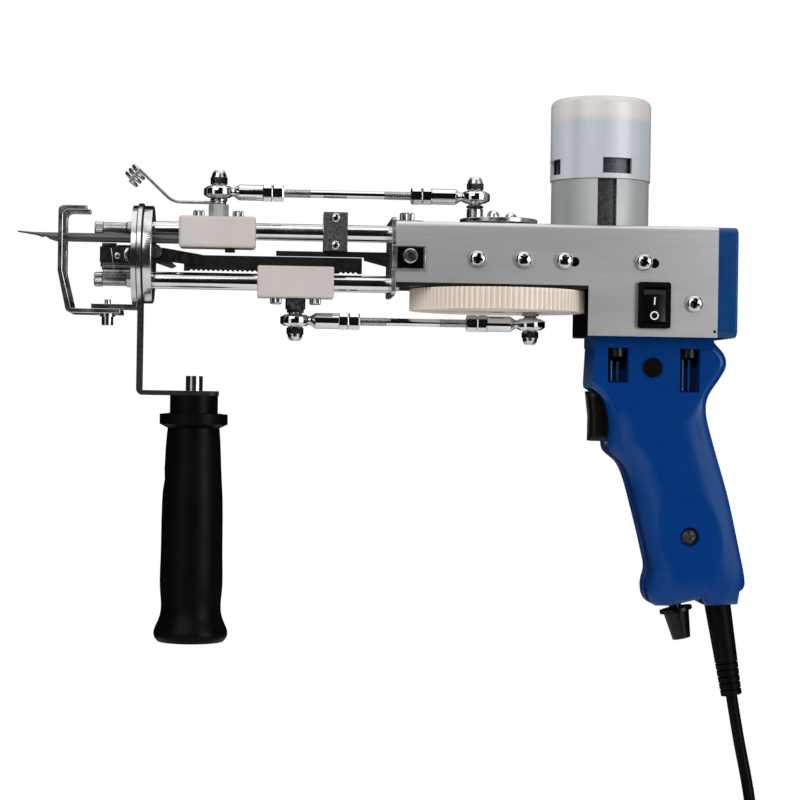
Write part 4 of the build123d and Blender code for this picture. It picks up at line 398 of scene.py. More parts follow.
def toothed_wheel():
    """A gear from its rule: four corners a tooth on two circles, raised, with a recess and a bore."""
    recipe = Recipe("toothed_wheel")
    teeth = recipe.given("Teeth", "Int", 103)
    tip = recipe.given("Tip Radius", "Float")
    root = recipe.given("Root Radius", "Float")
    tip_share = recipe.given("Tip Share", "Float", 0.10)
    root_share = recipe.given("Root Share", "Float", 0.32)
    thickness = recipe.given("Thickness", "Float")
    bore = recipe.given("Bore Radius", "Float")
    recess = recipe.given("Recess Radius", "Float")
    web = recipe.given("Web", "Float")
    centre = recipe.given("Centre", "Vector")
    finish = recipe.given("Finish", "Material")
    circle = recipe.step("GeometryNodeMeshCircle", {"Vertices": recipe.sum("MULTIPLY", teeth, 4.0),
                         "Radius": tip}, fill_type="NGON")
    index = recipe.step("GeometryNodeInputIndex", {}).outputs["Index"]
    tooth = recipe.sum("FLOOR", recipe.sum("DIVIDE", index, 4.0))
    side = recipe.sum("SUBTRACT", recipe.sum("MODULO", index, 4.0), 1.5)
    at_tip = recipe.sum("LESS_THAN", recipe.sum("ABSOLUTE", side), 1.0)
    radius = recipe.sum("MULTIPLY_ADD", recipe.sum("SUBTRACT", tip, root), at_tip, root)
    width = recipe.sum("MULTIPLY_ADD", recipe.sum("SUBTRACT", tip_share, root_share), at_tip, root_share)
    share = recipe.sum("MULTIPLY_ADD", recipe.sum("SIGN", side), width, tooth)
    angle = recipe.sum("MULTIPLY", recipe.sum("DIVIDE", share, teeth), 2 * math.pi)
    corner = recipe.step("ShaderNodeCombineXYZ", {
        "X": recipe.sum("MULTIPLY", radius, recipe.sum("COSINE", angle)),
        "Y": recipe.sum("MULTIPLY", radius, recipe.sum("SINE", angle))})
    outline = recipe.step("GeometryNodeSetPosition", {"Geometry": circle.outputs["Mesh"],
                          "Position": corner.outputs["Vector"]}).outputs["Geometry"]
    up = recipe.step("ShaderNodeCombineXYZ", {"Z": thickness})
    raised = recipe.step("GeometryNodeExtrudeMesh", {"Mesh": outline, "Offset": up.outputs["Vector"],
                         "Offset Scale": 1.0, "Individual": False}, mode="FACES")
    under = recipe.step("GeometryNodeFlipFaces", {"Mesh": outline})
    both = recipe.step("GeometryNodeJoinGeometry", {})
    recipe.tree.links.new(raised.outputs["Mesh"], both.inputs["Geometry"])
    recipe.tree.links.new(under.outputs["Mesh"], both.inputs["Geometry"])
    closed = recipe.step("GeometryNodeMergeByDistance", {"Geometry": both.outputs["Geometry"],
                         "Distance": 0.01 * MM})
    body = closed.outputs["Geometry"]
    through = recipe.sum("MULTIPLY", thickness, 0.5)
    above_web = recipe.sum("MULTIPLY_ADD", thickness, 2.0, web)
    for reach, lift in ((bore, through), (recess, above_web)):
        drum = recipe.step("GeometryNodeMeshCylinder", {"Vertices": 64, "Radius": reach,
                           "Depth": recipe.sum("MULTIPLY", thickness, 4.0)})
        rise = recipe.step("ShaderNodeCombineXYZ", {"Z": lift})
        tool = recipe.step("GeometryNodeTransform", {"Geometry": drum.outputs["Mesh"],
                           "Translation": rise.outputs["Vector"]})
        body = recipe.step("GeometryNodeMeshBoolean", {"Mesh 1": body, "Mesh 2": tool.outputs["Geometry"]},
                           operation="DIFFERENCE").outputs["Mesh"]
    placed = recipe.step("GeometryNodeTransform", {"Geometry": body, "Translation": centre})
    return recipe.end(placed.outputs["Geometry"], finish)


shading = soft_shading()
head_rows = heads_on_points()
ridge_rows = ridges_on_lines()


def shade(piece, edge_angle=30.0):
    """Soft shading on a piece, as a modifier."""
    modifier = piece.modifiers.new("soft_shading", "NODES")
    modifier.node_group = shading
    set_input(modifier, "Edge Angle", math.radians(edge_angle))


def broken_edges(piece, width, angle=35.0):
    """Fine rounded edges, which catch the light as real ones do."""
    flat = piece.modifiers.new("flat_faces", "DECIMATE")
    flat.decimate_type = "DISSOLVE"
    flat.angle_limit = math.radians(1.0)
    bevel = piece.modifiers.new("broken_edges", "BEVEL")
    bevel.limit_method = "ANGLE"
    bevel.angle_limit = math.radians(angle)
    bevel.width = width * MM
    bevel.segments = 2
    bevel.use_clamp_overlap = True


# Pieces

AXES = {
    "x": (Vector((1, 0, 0)), Vector((0, 1, 0)), Vector((0, 0, 1))),
    "y": (Vector((0, 1, 0)), Vector((0, 0, 1)), Vector((1, 0, 0))),
    "z": (Vector((0, 0, 1)), Vector((1, 0, 0)), Vector((0, 1, 0))),
}


class Blank:
    """Points and faces of a piece while it is made, in millimetres."""

    def __init__(self):
        self.points = []
        self.faces = []

    def turned(self, axis, start, profile, way=1, sides=40, turn=0.0, hollow=False, knurl=0.0):
        """A turned form, from pairs of a run along the axis and a radius. Six sides make a hexagon, hollow
        joins the last pair to the first, and a knurl sinks every other point of the widest rows."""
        ahead, across, over = AXES[axis]
        first = len(self.points)
        widest = max(radius for run, radius in profile)
        for run, radius in profile:
            for number in range(sides):
                angle = math.radians(turn) + 2 * math.pi * number / sides
                reach = radius - (knurl if number % 2 and radius == widest else 0.0)
                self.points.append(Vector(start) + ahead * way * run
                                   + (across * math.cos(angle) + over * math.sin(angle)) * reach)
        rows = len(profile)
        for row in range(rows if hollow else rows - 1):
            low, high = first + row * sides, first + (row + 1) % rows * sides
            for number in range(sides):
                after = (number + 1) % sides
                self.faces.append((low + number, low + after, high + after, high + number))
        if not hollow:
            self.faces.append(tuple(first + number for number in range(sides)))
            self.faces.append(tuple(first + (rows - 1) * sides + number for number in range(sides)))

    def raised(self, axis, outline, low, high):
        """A plate from an outline across an axis, between two values on it."""
        ahead, across, over = AXES[axis]
        first = len(self.points)
        for run in (low, high):
            self.points += [ahead * run + across * a + over * b for a, b in outline]
        count = len(outline)
        for number in range(count):
            after = (number + 1) % count
            self.faces.append((first + number, first + after, first + count + after, first + count + number))
        self.faces.append(tuple(first + number for number in range(count)))
        self.faces.append(tuple(first + count + number for number in range(count)))

    def bar(self, x, y, z):
        """A bar between two values on each axis."""
        self.raised("z", [(x[0], y[0]), (x[1], y[0]), (x[1], y[1]), (x[0], y[1])], z[0], z[1])

    def mesh(self, name):
        """The finished mesh, in metres, with its faces outwards."""
        mesh = bpy.data.meshes.new(name)
        mesh.from_pydata([point * MM for point in self.points], [], self.faces)
        work = bmesh.new()
        work.from_mesh(mesh)
        bmesh.ops.recalc_face_normals(work, faces=work.faces)
        work.to_mesh(mesh)
        work.free()
        return mesh


def put_in(name, content):
    """An object of a mesh, a curve, a lamp or a camera, in the scene."""
    piece = bpy.data.objects.new(name, content)
    bpy.context.scene.collection.objects.link(piece)
    return piece


def dress(piece, body, slot, *replaced):
    """Ties a finished piece to its body and hides the nodes that it stands for; its slot is not used."""
    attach(piece, body)
    if replaced:
        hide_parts(*replaced)


def made(name, blank, finish, body, slot, *replaced, edges=0.0, angle=30.0):
    """A piece from its blank, with its finish, edges and shading."""
    piece = put_in(name, blank.mesh(name))
    piece.data.materials.append(finish)
    if edges:
        broken_edges(piece, edges)
    shade(piece, angle)
    dress(piece, body, slot, *replaced)
    return piece


def grown(name, source, tree, values):
    """A plain mesh from a tree's result on a source mesh."""
    seed = put_in(name + "_seed", source)
    modifier = seed.modifiers.new(name, "NODES")
    modifier.node_group = tree
    for key, value in values.items():
        set_input(modifier, key, value)
    seed.update_tag()
    graph = bpy.context.evaluated_depsgraph_get()
    mesh = bpy.data.meshes.new_from_object(seed.evaluated_get(graph))
    mesh.name = name
    bpy.data.objects.remove(seed)
    return put_in(name, mesh)


def cut_from(blank, cutter, name):
    """The mesh of a blank with a cutter's form taken out."""
    stock, tool = put_in(name, blank.mesh(name)), put_in(name + "_tool", cutter.mesh(name + "_tool"))
    cut = stock.modifiers.new("cut", "BOOLEAN")
    cut.operation = "DIFFERENCE"
    cut.object = tool
    graph = bpy.context.evaluated_depsgraph_get()
    mesh = bpy.data.meshes.new_from_object(stock.evaluated_get(graph))
    bpy.data.objects.remove(stock)
    bpy.data.objects.remove(tool)
    return mesh


def cross_outline(radius):
    """The outline of a cross recess in a head of this radius."""
    long, wide = radius * 0.56, radius * 0.14
    return [(long, -wide), (long, wide), (wide, wide), (wide, long), (-wide, long), (-wide, wide),
            (-long, wide), (-long, -wide), (-wide, -wide), (-wide, -long), (wide, -long), (wide, -wide)]


def pan_head(radius, height, shank, length, name):
    """A pan head with a cross recess, on its shank, along Z."""
    stock, tool = Blank(), Blank()
    stock.turned("z", (0, 0, 0), [(-length, shank * 0.8), (-length + 0.4, shank), (0.0, shank),
                                  (0.0, radius * 0.96), (height * 0.1, radius),
                                  (height * 0.34, radius * 0.99),
                                  (height * 0.62, radius * 0.88), (height * 0.84, radius * 0.66),
                                  (height * 0.96, radius * 0.38), (height, radius * 0.12)], sides=36)
    tool.raised("z", cross_outline(radius), height * 0.5, height + 0.5)
    return cut_from(stock, tool, name)


def cross_shade(radius, height, name):
    """A black sheet on the floor of a pan head's cross recess: painted shade."""
    floor = Blank()
    floor.raised("z", cross_outline(radius), height * 0.5 - 0.1, height * 0.5 + 0.12)
    return floor.mesh(name)


def socket_head(radius, height, flats, shank, length, name):
    """A knurled cap head with a hexagon socket, on its shank, along Z."""
    stock, tool = Blank(), Blank()
    stock.turned("z", (0, 0, 0), [(-length, shank * 0.8), (-length + 0.4, shank), (0.0, shank),
                                  (0.0, radius * 0.92), (0.3, radius), (height - 0.6, radius),
                                  (height - 0.5, radius * 0.94),
                                  (height - 0.3, radius * 0.94), (height, radius * 0.82)], sides=64,
                 knurl=radius * 0.05)
    tool.turned("z", (0, 0, 0), [(height * 0.5, flats * 0.577), (height + 0.5, flats * 0.577)], sides=6)
    return cut_from(stock, tool, name)


def rows_of_heads(name, head, places, finish, body, slot, *replaced, seed=1):
    """Heads of one kind on their places, each a point and the way that it faces."""
    points = bpy.data.meshes.new(name)
    points.from_pydata([Vector(place) * MM for place, facing in places], [], [])
    ways = points.attributes.new("facing", "FLOAT_VECTOR", "POINT")
    for number, (place, facing) in enumerate(places):
        ways.data[number].vector = facing
    pattern = put_in(name + "_pattern", head)
    piece = grown(name, points, head_rows, {"Head": pattern, "Seed": seed, "Finish": finish})
    bpy.data.objects.remove(pattern)
    shade(piece, 28.0)
    dress(piece, body, slot, *replaced)
    return piece


def threads(name, stretches, radius, depth, pitch, finish, body, slot):
    """Thread ridges on straight stretches, each a pair of points."""
    ridge = Blank()
    ridge.turned("z", (0, 0, 0), [(-pitch / 2, radius - depth), (-pitch * 0.1, radius), (pitch * 0.1, radius),
                                  (pitch / 2, radius - depth)], sides=24)
    lines = bpy.data.meshes.new(name)
    ends = [Vector(point) * MM for stretch in stretches for point in stretch]
    lines.from_pydata(ends, [(2 * number, 2 * number + 1) for number in range(len(stretches))], [])
    pattern = put_in(name + "_pattern", ridge.mesh(name + "_pattern"))
    piece = grown(name, lines, ridge_rows, {"Ridge": pattern, "Pitch": pitch * MM, "Finish": finish})
    bpy.data.objects.remove(pattern)
    shade(piece, 28.0)
    dress(piece, body, slot)
    return piece


def nut(blank, axis, start, height, flats, way=1, turn=0.0, chamfer=0.4):
    """A hexagon nut with its corners taken off at both faces."""
    corner = flats / math.sqrt(3)
    blank.turned(axis, start, [(0.0, corner * 0.9), (chamfer, corner), (height - chamfer, corner),
                               (height, corner * 0.9)], way=way, sides=6, turn=turn)


# The frame's own pieces

slots = {row["node"]: row["material_slot"] for row in frame["record"]["subparts"]}
OWN_FINISH = {
    "needle": "needle_steel", "front_disc": "nickel", "rear_disc": "nickel", "fixed_blade": "blade_steel",
    "moving_blade": "can_steel", "blade_pivot": "zinc", "presser_foot": "nickel", "foot_screw": "nickel",
    "yarn_guide": "zinc", "front_plate": "plate_steel", "handle_stud": "nickel", "motor_can": "can_steel",
    "inner_screws": "shaded_steel", "handle_strap": "strap_steel", "trigger": "trigger_plastic",
}
EDGES = {
    "front_disc": 0.5, "rear_disc": 0.7, "handle_strap": 0.15, "presser_foot": 0.6, "front_plate": 0.3,
    "rod_clamp": 0.4, "guide_bracket": 0.25, "fixed_blade": 0.2, "moving_blade": 0.2, "scissor_bar": 0.15,
    "rocker_bezel": 0.5,
}
for name, node in nodes.items():
    node.data.materials.clear()
    finish = FINE_FINISHES[OWN_FINISH[name]] if name in OWN_FINISH else FINISHES[slots[name]]
    node.data.materials.append(finish)
    shade(node)
    if name in EDGES:
        broken_edges(node, EDGES[name])


# Sizes that the fine pieces share with the frame, in millimetres

HOUSING_HALF = 25.0
HOUSING_TOP = 119.5
TAB_THICK = 1.6
RING_Z = 102.9
ROD_UPPER_Z, ROD_LOWER_Z = 114.8, 91.0
DISC_FRONT = -254.6
NUT_HEIGHT = 3.2
SLEEVE_LENGTH = 11.0
CAP_HEAD_X = -125.7
LINKS = {
    "upper": (-214.9, -93.4, 133.2, "upper_link"),
    "lower": (-178.0, -66.1, 73.2, "lower_link"),
}
# From a ball's middle: the end of its housing, the lock nut, the open thread and the plain rod.
HOUSING_END, LOCK_NUT_AT, THREAD_AT, PLAIN_AT = 20.6, 25.3, 30.8, 43.0
BALL_RADIUS, BALL_HALF = 4.6, 3.9
NUT_FLATS, BASE_FLATS, NUT_SINK = 7.0, 8.2, 0.6
SHAFT_X = -82.0
CRANK_LOW, CRANK_HIGH, CRANK_BOSS = 120.6, 122.8, 4.9
SLIDER_TOP, SLIDER_LOW = 121.3, 83.7
WIRE_LOW, WIRE_HIGH = 127.35, 128.85
GEAR_LOW = 78.9
PAN_HEAD, CLAMP_HEAD = (4.1, 2.7), (2.4, 1.6)
SWITCH_X = -11.2
ROCKER_Z, ROCKER_HALF = 82.3, 5.2
ROCKER_MIDDLE, ROCKER_RISE = -26.5, 0.333
# Black discs of painted shade in the housing's round keyholes: X, Z and radius.
KEYHOLES = ((-48.7, 101.9, 2.25), (SWITCH_X, 101.9, 2.25), (17.7, 70.5, 0.7))
# Pockets of the grip's upper screws: low end, top of the ribs, sides along X, and the ribs' places.
POCKETS = (
    (46.3, 56.4, (-30.8, -21.3), (-28.1, -25.0)),
    (42.2, 57.6, (3.5, 12.7), (6.1, 9.2)),
)
# The pockets' top, how far down the black painted shade at their top reaches, and how far from the middle the
# dim painted-shade sheets on their floors lie.
POCKET_TOP, POCKET_SHADE_REACH, POCKET_FLOOR = 62.3, 4.0, 6.9
CUTTER_NEAR, CUTTER_FAR = -6.5, -3.5
POST_NEAR, POST_FAR, POST_LOW = -5.2, -3.0, 104.4


def screws():
    """Pan heads, cap heads and the carriages' screws."""
    pan = pan_head(*PAN_HEAD, 2.0, 6.0, "pan_head")
    sides = [((x, side * HOUSING_HALF, z), (0, side, 0)) for side in (-1, 1)
             for x, z in ((-94.0, 102.4), (-72.6, 102.4), (-53.5, 102.4), (-16.0, 102.4), (8.0, 83.4))]
    rows_of_heads("pan_heads", pan, sides, FINE_FINISHES["nickel"], "frame", "polished_steel", "pan_screws",
                  seed=4)
    rows_of_heads("pan_shades", cross_shade(*PAN_HEAD, "pan_shade"), sides, FINE_FINISHES["socket_shade"],
                  "frame", "polished_steel", seed=4)
    clamp = pan_head(*CLAMP_HEAD, 1.5, 13.5, "clamp_head")
    places = [((-159.65, -7.0, z), (0, -1, 0)) for z in (121.6, 108.6)]
    rows_of_heads("clamp_heads", clamp, places, FINE_FINISHES["zinc"], "frame", "polished_steel", seed=2)
    rows_of_heads("clamp_shades", cross_shade(*CLAMP_HEAD, "clamp_shade"), places,
                  FINE_FINISHES["socket_shade"], "frame", "polished_steel", seed=2)
    grip = pan_head(4.0, 1.6, 1.5, 12.0, "grip_head")
    rows_of_heads("grip_head", grip, [((GRIP_SCREW_X, -12.8, GRIP_SCREW_Z), (0, -1, 0))],
                  FINE_FINISHES["can_steel"], "frame", "polished_steel")
    cap = socket_head(3.5, 4.0, 3.0, 2.0, 6.0, "cap_head")
    places = [((CAP_HEAD_X, 0, HOUSING_TOP + TAB_THICK), (0, 0, 1))]
    places += [((CAP_HEAD_X, side * (HOUSING_HALF + TAB_THICK), RING_Z), (0, side, 0)) for side in (-1, 1)]
    places += [((DISC_FRONT - NUT_HEIGHT - SLEEVE_LENGTH, 0, z), (-1, 0, 0))
               for z in (ROD_UPPER_Z, ROD_LOWER_Z)]
    rows_of_heads("cap_heads", cap, places, FINE_FINISHES["zinc"], "frame", "polished_steel", "cap_screws",
                  seed=6)
    small = socket_head(2.75, 3.0, 2.5, 1.5, 1.5, "small_cap_head")
    for name, x, z, way, body in (("needle", LINKS["upper"][0], SLIDER_TOP, 1, "needle_carriage"),
                                  ("scissor", LINKS["lower"][0], SLIDER_LOW, -1, "scissor_carriage")):
        places = [((x + shift, 0, z), (0, 0, way)) for shift in (-9.3, 9.3)]
        rows_of_heads(name + "_small_heads", small, places, FINE_FINISHES["zinc"], body, "polished_steel",
                      name + "_slider_screws", seed=3)


def links():
    """The two links: threaded rod with lock nuts, and a ball-joint housing at each end."""
    for name, (front_x, rear_x, z, body) in LINKS.items():
        rod, ends = Blank(), Blank()
        plain = rear_x - front_x - 2 * PLAIN_AT
        rod.turned("x", (front_x + PLAIN_AT, 0, z), [(0, 1.8), (plain, 1.8)], sides=32)
        stretches = []
        for x, way in ((front_x, 1), (rear_x, -1)):
            rod.turned("x", (x, 0, z), [(HOUSING_END - 0.6, 1.75), (PLAIN_AT + 0.1, 1.75)], way=way, sides=24)
            nut(rod, "x", (x + way * LOCK_NUT_AT, 0, z), 5.3, NUT_FLATS, way=way, turn=90.0, chamfer=0.6)
            stretches.append(((x + way * THREAD_AT, 0, z), (x + way * PLAIN_AT, 0, z)))
            ends.turned("z", (x, 0, z), [(-2.7, 3.8), (-2.7, 5.0), (-2.5, 5.35), (-1.75, 6.75), (-1.5, 7.0),
                                         (-1.2, 7.1), (1.2, 7.1), (1.5, 7.0), (1.75, 6.75), (2.5, 5.35),
                                         (2.7, 5.0), (2.7, 3.8), (0, 4.65)], sides=48, hollow=True)
            ends.turned("x", (x, 0, z), [(5.6, 2.0), (7.2, 2.15), (7.7, 2.45), (9.2, 3.45), (9.6, 3.7),
                                         (HOUSING_END, 3.7)], way=way, sides=40)
            nut(ends, "x", (x + way * HOUSING_END, 0, z), 4.6, NUT_FLATS, way=way, turn=90.0, chamfer=0.45)
        made(name + "_rod", rod, FINE_FINISHES["chrome"], body, "polished_steel", name + "_link_rod")
        made(name + "_ends", ends, FINE_FINISHES["chrome"], body, "polished_steel", name + "_link_ends",
             angle=24.0)
        threads(name + "_threads", stretches, 2.0, 0.35, 0.75, FINE_FINISHES["zinc"], body, "polished_steel")


def ball(blank, x, z):
    """A joint's ball with flat ends, on its bolt."""
    profile = []
    for number in range(9):
        height = -BALL_HALF + 2 * BALL_HALF * number / 8
        profile.append((height, math.sqrt(BALL_RADIUS ** 2 - height ** 2)))
    blank.turned("z", (x, 0, z), profile, sides=40)


def lock_nut(blank, x, z, way, height=6.3):
    """A lock nut with a collar, and the bolt's end in it."""
    nut(blank, "z", (x, 0, z), height * 0.56, NUT_FLATS, way=way)
    blank.turned("z", (x, 0, z), [(height * 0.5, 3.6), (height * 0.7, 3.45), (height * 0.86, 3.0),
                                  (height, 2.2), (height * 0.94, 1.75)], way=way, sides=36)
    blank.turned("z", (x, 0, z), [(height * 0.7, 1.7), (height * 0.92, 1.6), (height, 1.1)], way=way,
                 sides=20)


def studs_and_bolts():
    """Balls, studs and nuts of the four joints."""
    front_x, rear_x, z, body = LINKS["upper"]
    stud = Blank()
    ball(stud, front_x, z)
    lock_nut(stud, front_x, z + BALL_HALF - NUT_SINK, 1, 6.9)
    stud.turned("z", (front_x, 0, WIRE_HIGH), [(0.0, 3.9), (0.15, 4.0), (0.6, 4.0), (0.7, 3.6)], sides=36)
    nut(stud, "z", (front_x, 0, WIRE_HIGH - 0.2), 1.5, NUT_FLATS, chamfer=0.2)
    stud.turned("z", (front_x, 0, WIRE_LOW - 0.2), [(0.0, 2.0), (2.0, 2.0)], sides=24)
    made("needle_stud_parts", stud, FINE_FINISHES["nickel"], "needle_carriage", "polished_steel",
         "needle_stud")
    base = Blank()
    nut(base, "z", (front_x, 0, SLIDER_TOP), WIRE_LOW - SLIDER_TOP, BASE_FLATS, chamfer=0.25)
    made("needle_stud_base", base, FINE_FINISHES["bright_plate"], "needle_carriage", "polished_steel")
    bolt = Blank()
    ball(bolt, rear_x, z)
    lock_nut(bolt, rear_x, z + BALL_HALF - NUT_SINK, 1)
    nut(bolt, "z", (rear_x, 0, CRANK_HIGH + CRANK_BOSS + 0.3), 1.3, NUT_FLATS, chamfer=0.15)
    made("upper_bolt", bolt, FINE_FINISHES["nickel"], "upper_link", "polished_steel", "upper_crank_bolt")
    front_x, rear_x, z, body = LINKS["lower"]
    stud = Blank()
    ball(stud, front_x, z)
    lock_nut(stud, front_x, z - BALL_HALF + NUT_SINK, -1)
    nut(stud, "z", (front_x, 0, z + BALL_HALF - 0.4), 1.8, NUT_FLATS, chamfer=0.2)
    made("scissor_stud_parts", stud, FINE_FINISHES["nickel"], "scissor_carriage", "polished_steel",
         "scissor_stud")
    base = Blank()
    nut(base, "z", (front_x, 0, z + BALL_HALF + 1.2), SLIDER_LOW - z - BALL_HALF - 1.2, BASE_FLATS,
        chamfer=0.25)
    made("scissor_stud_base", base, FINE_FINISHES["dark_zinc"], "scissor_carriage", "polished_steel")
    bolt = Blank()
    ball(bolt, rear_x, z)
    lock_nut(bolt, rear_x, z - BALL_HALF + NUT_SINK, -1)
    nut(bolt, "z", (rear_x, 0, z + BALL_HALF), GEAR_LOW - 0.3 - z - BALL_HALF, NUT_FLATS, chamfer=0.2)
    made("lower_bolt", bolt, FINE_FINISHES["nickel"], "lower_link", "polished_steel", "lower_crank_bolt")


def rod_fittings():
    """Nuts and ridged sleeves of the guide rods, and the bright rim of the strap between the discs."""
    nuts, sleeves = Blank(), Blank()
    stretches = []
    for z in (ROD_UPPER_Z, ROD_LOWER_Z):
        nut(nuts, "x", (DISC_FRONT, 0, z), NUT_HEIGHT, NUT_FLATS, way=-1)
        nut(nuts, "x", (-132.0, 0, z), NUT_HEIGHT, 6.0)
        rear = DISC_FRONT - NUT_HEIGHT
        sleeves.turned("x", (rear, 0, z), [(0, 2.8), (0.3, 3.0), (SLEEVE_LENGTH - 0.3, 3.0),
                                           (SLEEVE_LENGTH, 2.8)], way=-1, sides=36)
        stretches.append(((rear - 0.6, 0, z), (rear - SLEEVE_LENGTH + 0.6, 0, z)))
    made("guide_nuts", nuts, FINE_FINISHES["zinc"], "frame", "polished_steel", "rod_nuts")
    rim = Blank()
    rim.turned("x", (-249.62, 0, RING_Z), [(0, 23.4), (0, 23.7), (0.35, 24.1), (2.1, 24.1), (2.45, 23.7),
                                           (2.45, 23.4)], way=-1, sides=96, hollow=True)
    made("strap_rim", rim, FINE_FINISHES["nickel"], "handle", "polished_steel")
    made("sleeve_cores", sleeves, FINE_FINISHES["nickel"], "frame", "polished_steel", "rod_sleeves")
    threads("sleeve_ridges", stretches, 3.1, 0.12, 0.55, FINE_FINISHES["nickel"], "frame", "polished_steel")


def drive():
    """The big gear from its rule, and the crank disc with its boss and screws."""
    gear = grown("gear_wheel", bpy.data.meshes.new("gear_wheel"), toothed_wheel(), {
        "Teeth": 103, "Tip Radius": 41.9 * MM, "Root Radius": 40.2 * MM, "Thickness": 10.0 * MM,
        "Bore Radius": 4.0 * MM, "Recess Radius": 34.2 * MM, "Web": 6.0 * MM,
        "Centre": (SHAFT_X * MM, 0, GEAR_LOW * MM), "Finish": FINE_FINISHES["gear_nylon"]})
    shade(gear)
    dress(gear, "crank", slots["main_gear"], "main_gear")
    disc = Blank()
    disc.turned("z", (SHAFT_X, 0, 0), [(CRANK_LOW, 18.2), (CRANK_LOW + 0.3, 18.5), (CRANK_HIGH - 0.3, 18.5),
                                       (CRANK_HIGH, 18.2)], sides=72)
    disc.turned("z", (LINKS["upper"][1], 0, CRANK_HIGH), [(-0.5, 3.9), (CRANK_BOSS - 0.3, 3.9),
                                                          (CRANK_BOSS, 3.6)], sides=40)
    made("crank_plate", disc, FINE_FINISHES["zinc"], "crank", slots["upper_crank"], "upper_crank")
    head = pan_head(3.0, 4.2, 1.5, 2.0, "crank_head")
    rows_of_heads("crank_heads", head, [((SHAFT_X - 2.9, -3.0, CRANK_HIGH), (0, 0, 1)),
                                        ((SHAFT_X + 6.8, 8.0, CRANK_HIGH), (0, 0, 1))],
                  FINE_FINISHES["chrome"], "crank", slots["upper_crank"], seed=5)


def switch():
    """The rocker with its brow, and the bar and the ring on it."""
    body = Blank()
    body.raised("x", [(-26.2, ROCKER_Z + 7.8), (-28.1, ROCKER_Z + 4.8), (ROCKER_MIDDLE, ROCKER_Z),
                      (-27.15, ROCKER_Z - 7.8), (-22.2, ROCKER_Z - 4.1), (-22.2, ROCKER_Z + 4.1)],
                SWITCH_X - ROCKER_HALF, SWITCH_X + ROCKER_HALF)
    made("rocker_body", body, FINISHES["black_plastic"], "rocker", "black_plastic", "rocker", edges=0.25)
    marks = Blank()
    low, high = ROCKER_Z + 0.2, ROCKER_Z + 3.7
    face_low, face_high = (ROCKER_MIDDLE - ROCKER_RISE * (z - ROCKER_Z) - 0.08 for z in (low, high))
    marks.raised("x", [(face_low, low), (face_high, high), (face_high + 0.4, high), (face_low + 0.4, low)],
                 SWITCH_X - 0.3, SWITCH_X + 0.3)
    marks.turned("y", (SWITCH_X, ROCKER_MIDDLE - 0.6, ROCKER_Z - 4.8),
                 [(0, 1.45), (0, 2.0), (0.6, 2.0), (0.6, 1.45)], sides=32, hollow=True)
    made("switch_marks", marks, FINE_FINISHES["marking_white"], "rocker", "black_plastic")


def dark_openings():
    """Black sheets without shine: in the wells of the front plate's side tabs, painted shade in the housing's
    round keyholes, and a lining on the step wall.
    """
    wells = Blank()
    for side in (-1, 1):
        low, high = sorted(side * (HOUSING_HALF + TAB_THICK + step) for step in (-0.2, 0.06))
        wells.bar((-131.5, -119.4), (low, high), (97.4, 107.2))
        for x, z, radius in KEYHOLES:
            wells.turned("y", (x, side * (HOUSING_HALF - 0.2), z), [(0, radius), (0.25, radius)], way=side,
                         sides=28)
    lining = [(-24.6, 68.2), (24.6, 68.2), (24.6, 90.6), (14.0, 90.6), (14.0, 78.2), (-14.0, 78.2),
              (-14.0, 90.6), (-24.6, 90.6)]
    wells.raised("x", lining, -42.25, -41.9)
    made("dark_openings", wells, FINE_FINISHES["socket_shade"], "frame", "black_plastic")


def grip_pockets():
    """Ribs in the pockets of the grip's mounting screws, lighter blue as a painted highlight, and painted
    shade in the pockets: a dim blue sheet on each floor and a black one at its top, on both sides.
    """
    ribs, dim, painted_shade_tops = Blank(), Blank(), Blank()
    for side in (-1, 1):
        for low, high, span, places in POCKETS:
            for x in places:
                ribs.turned("z", (x, side * 7.6, low), [(0, 0.3), (0.4, 0.7), (high - low, 0.7)], sides=16)
            dim.bar(span, sorted((side * POCKET_FLOOR, side * 7.05)), (low, POCKET_TOP))
            painted_shade_tops.bar(span, sorted((side * POCKET_FLOOR, side * 7.15)), (high - POCKET_SHADE_REACH, POCKET_TOP))
    made("pocket_ribs", ribs, FINE_FINISHES["rib_painted_highlight_blue"], "frame", "blue_grip")
    made("pocket_shades", dim, FINE_FINISHES["pocket_shade"], "frame", "blue_grip")
    made("pocket_ends", painted_shade_tops, FINE_FINISHES["socket_shade"], "frame", "black_plastic")


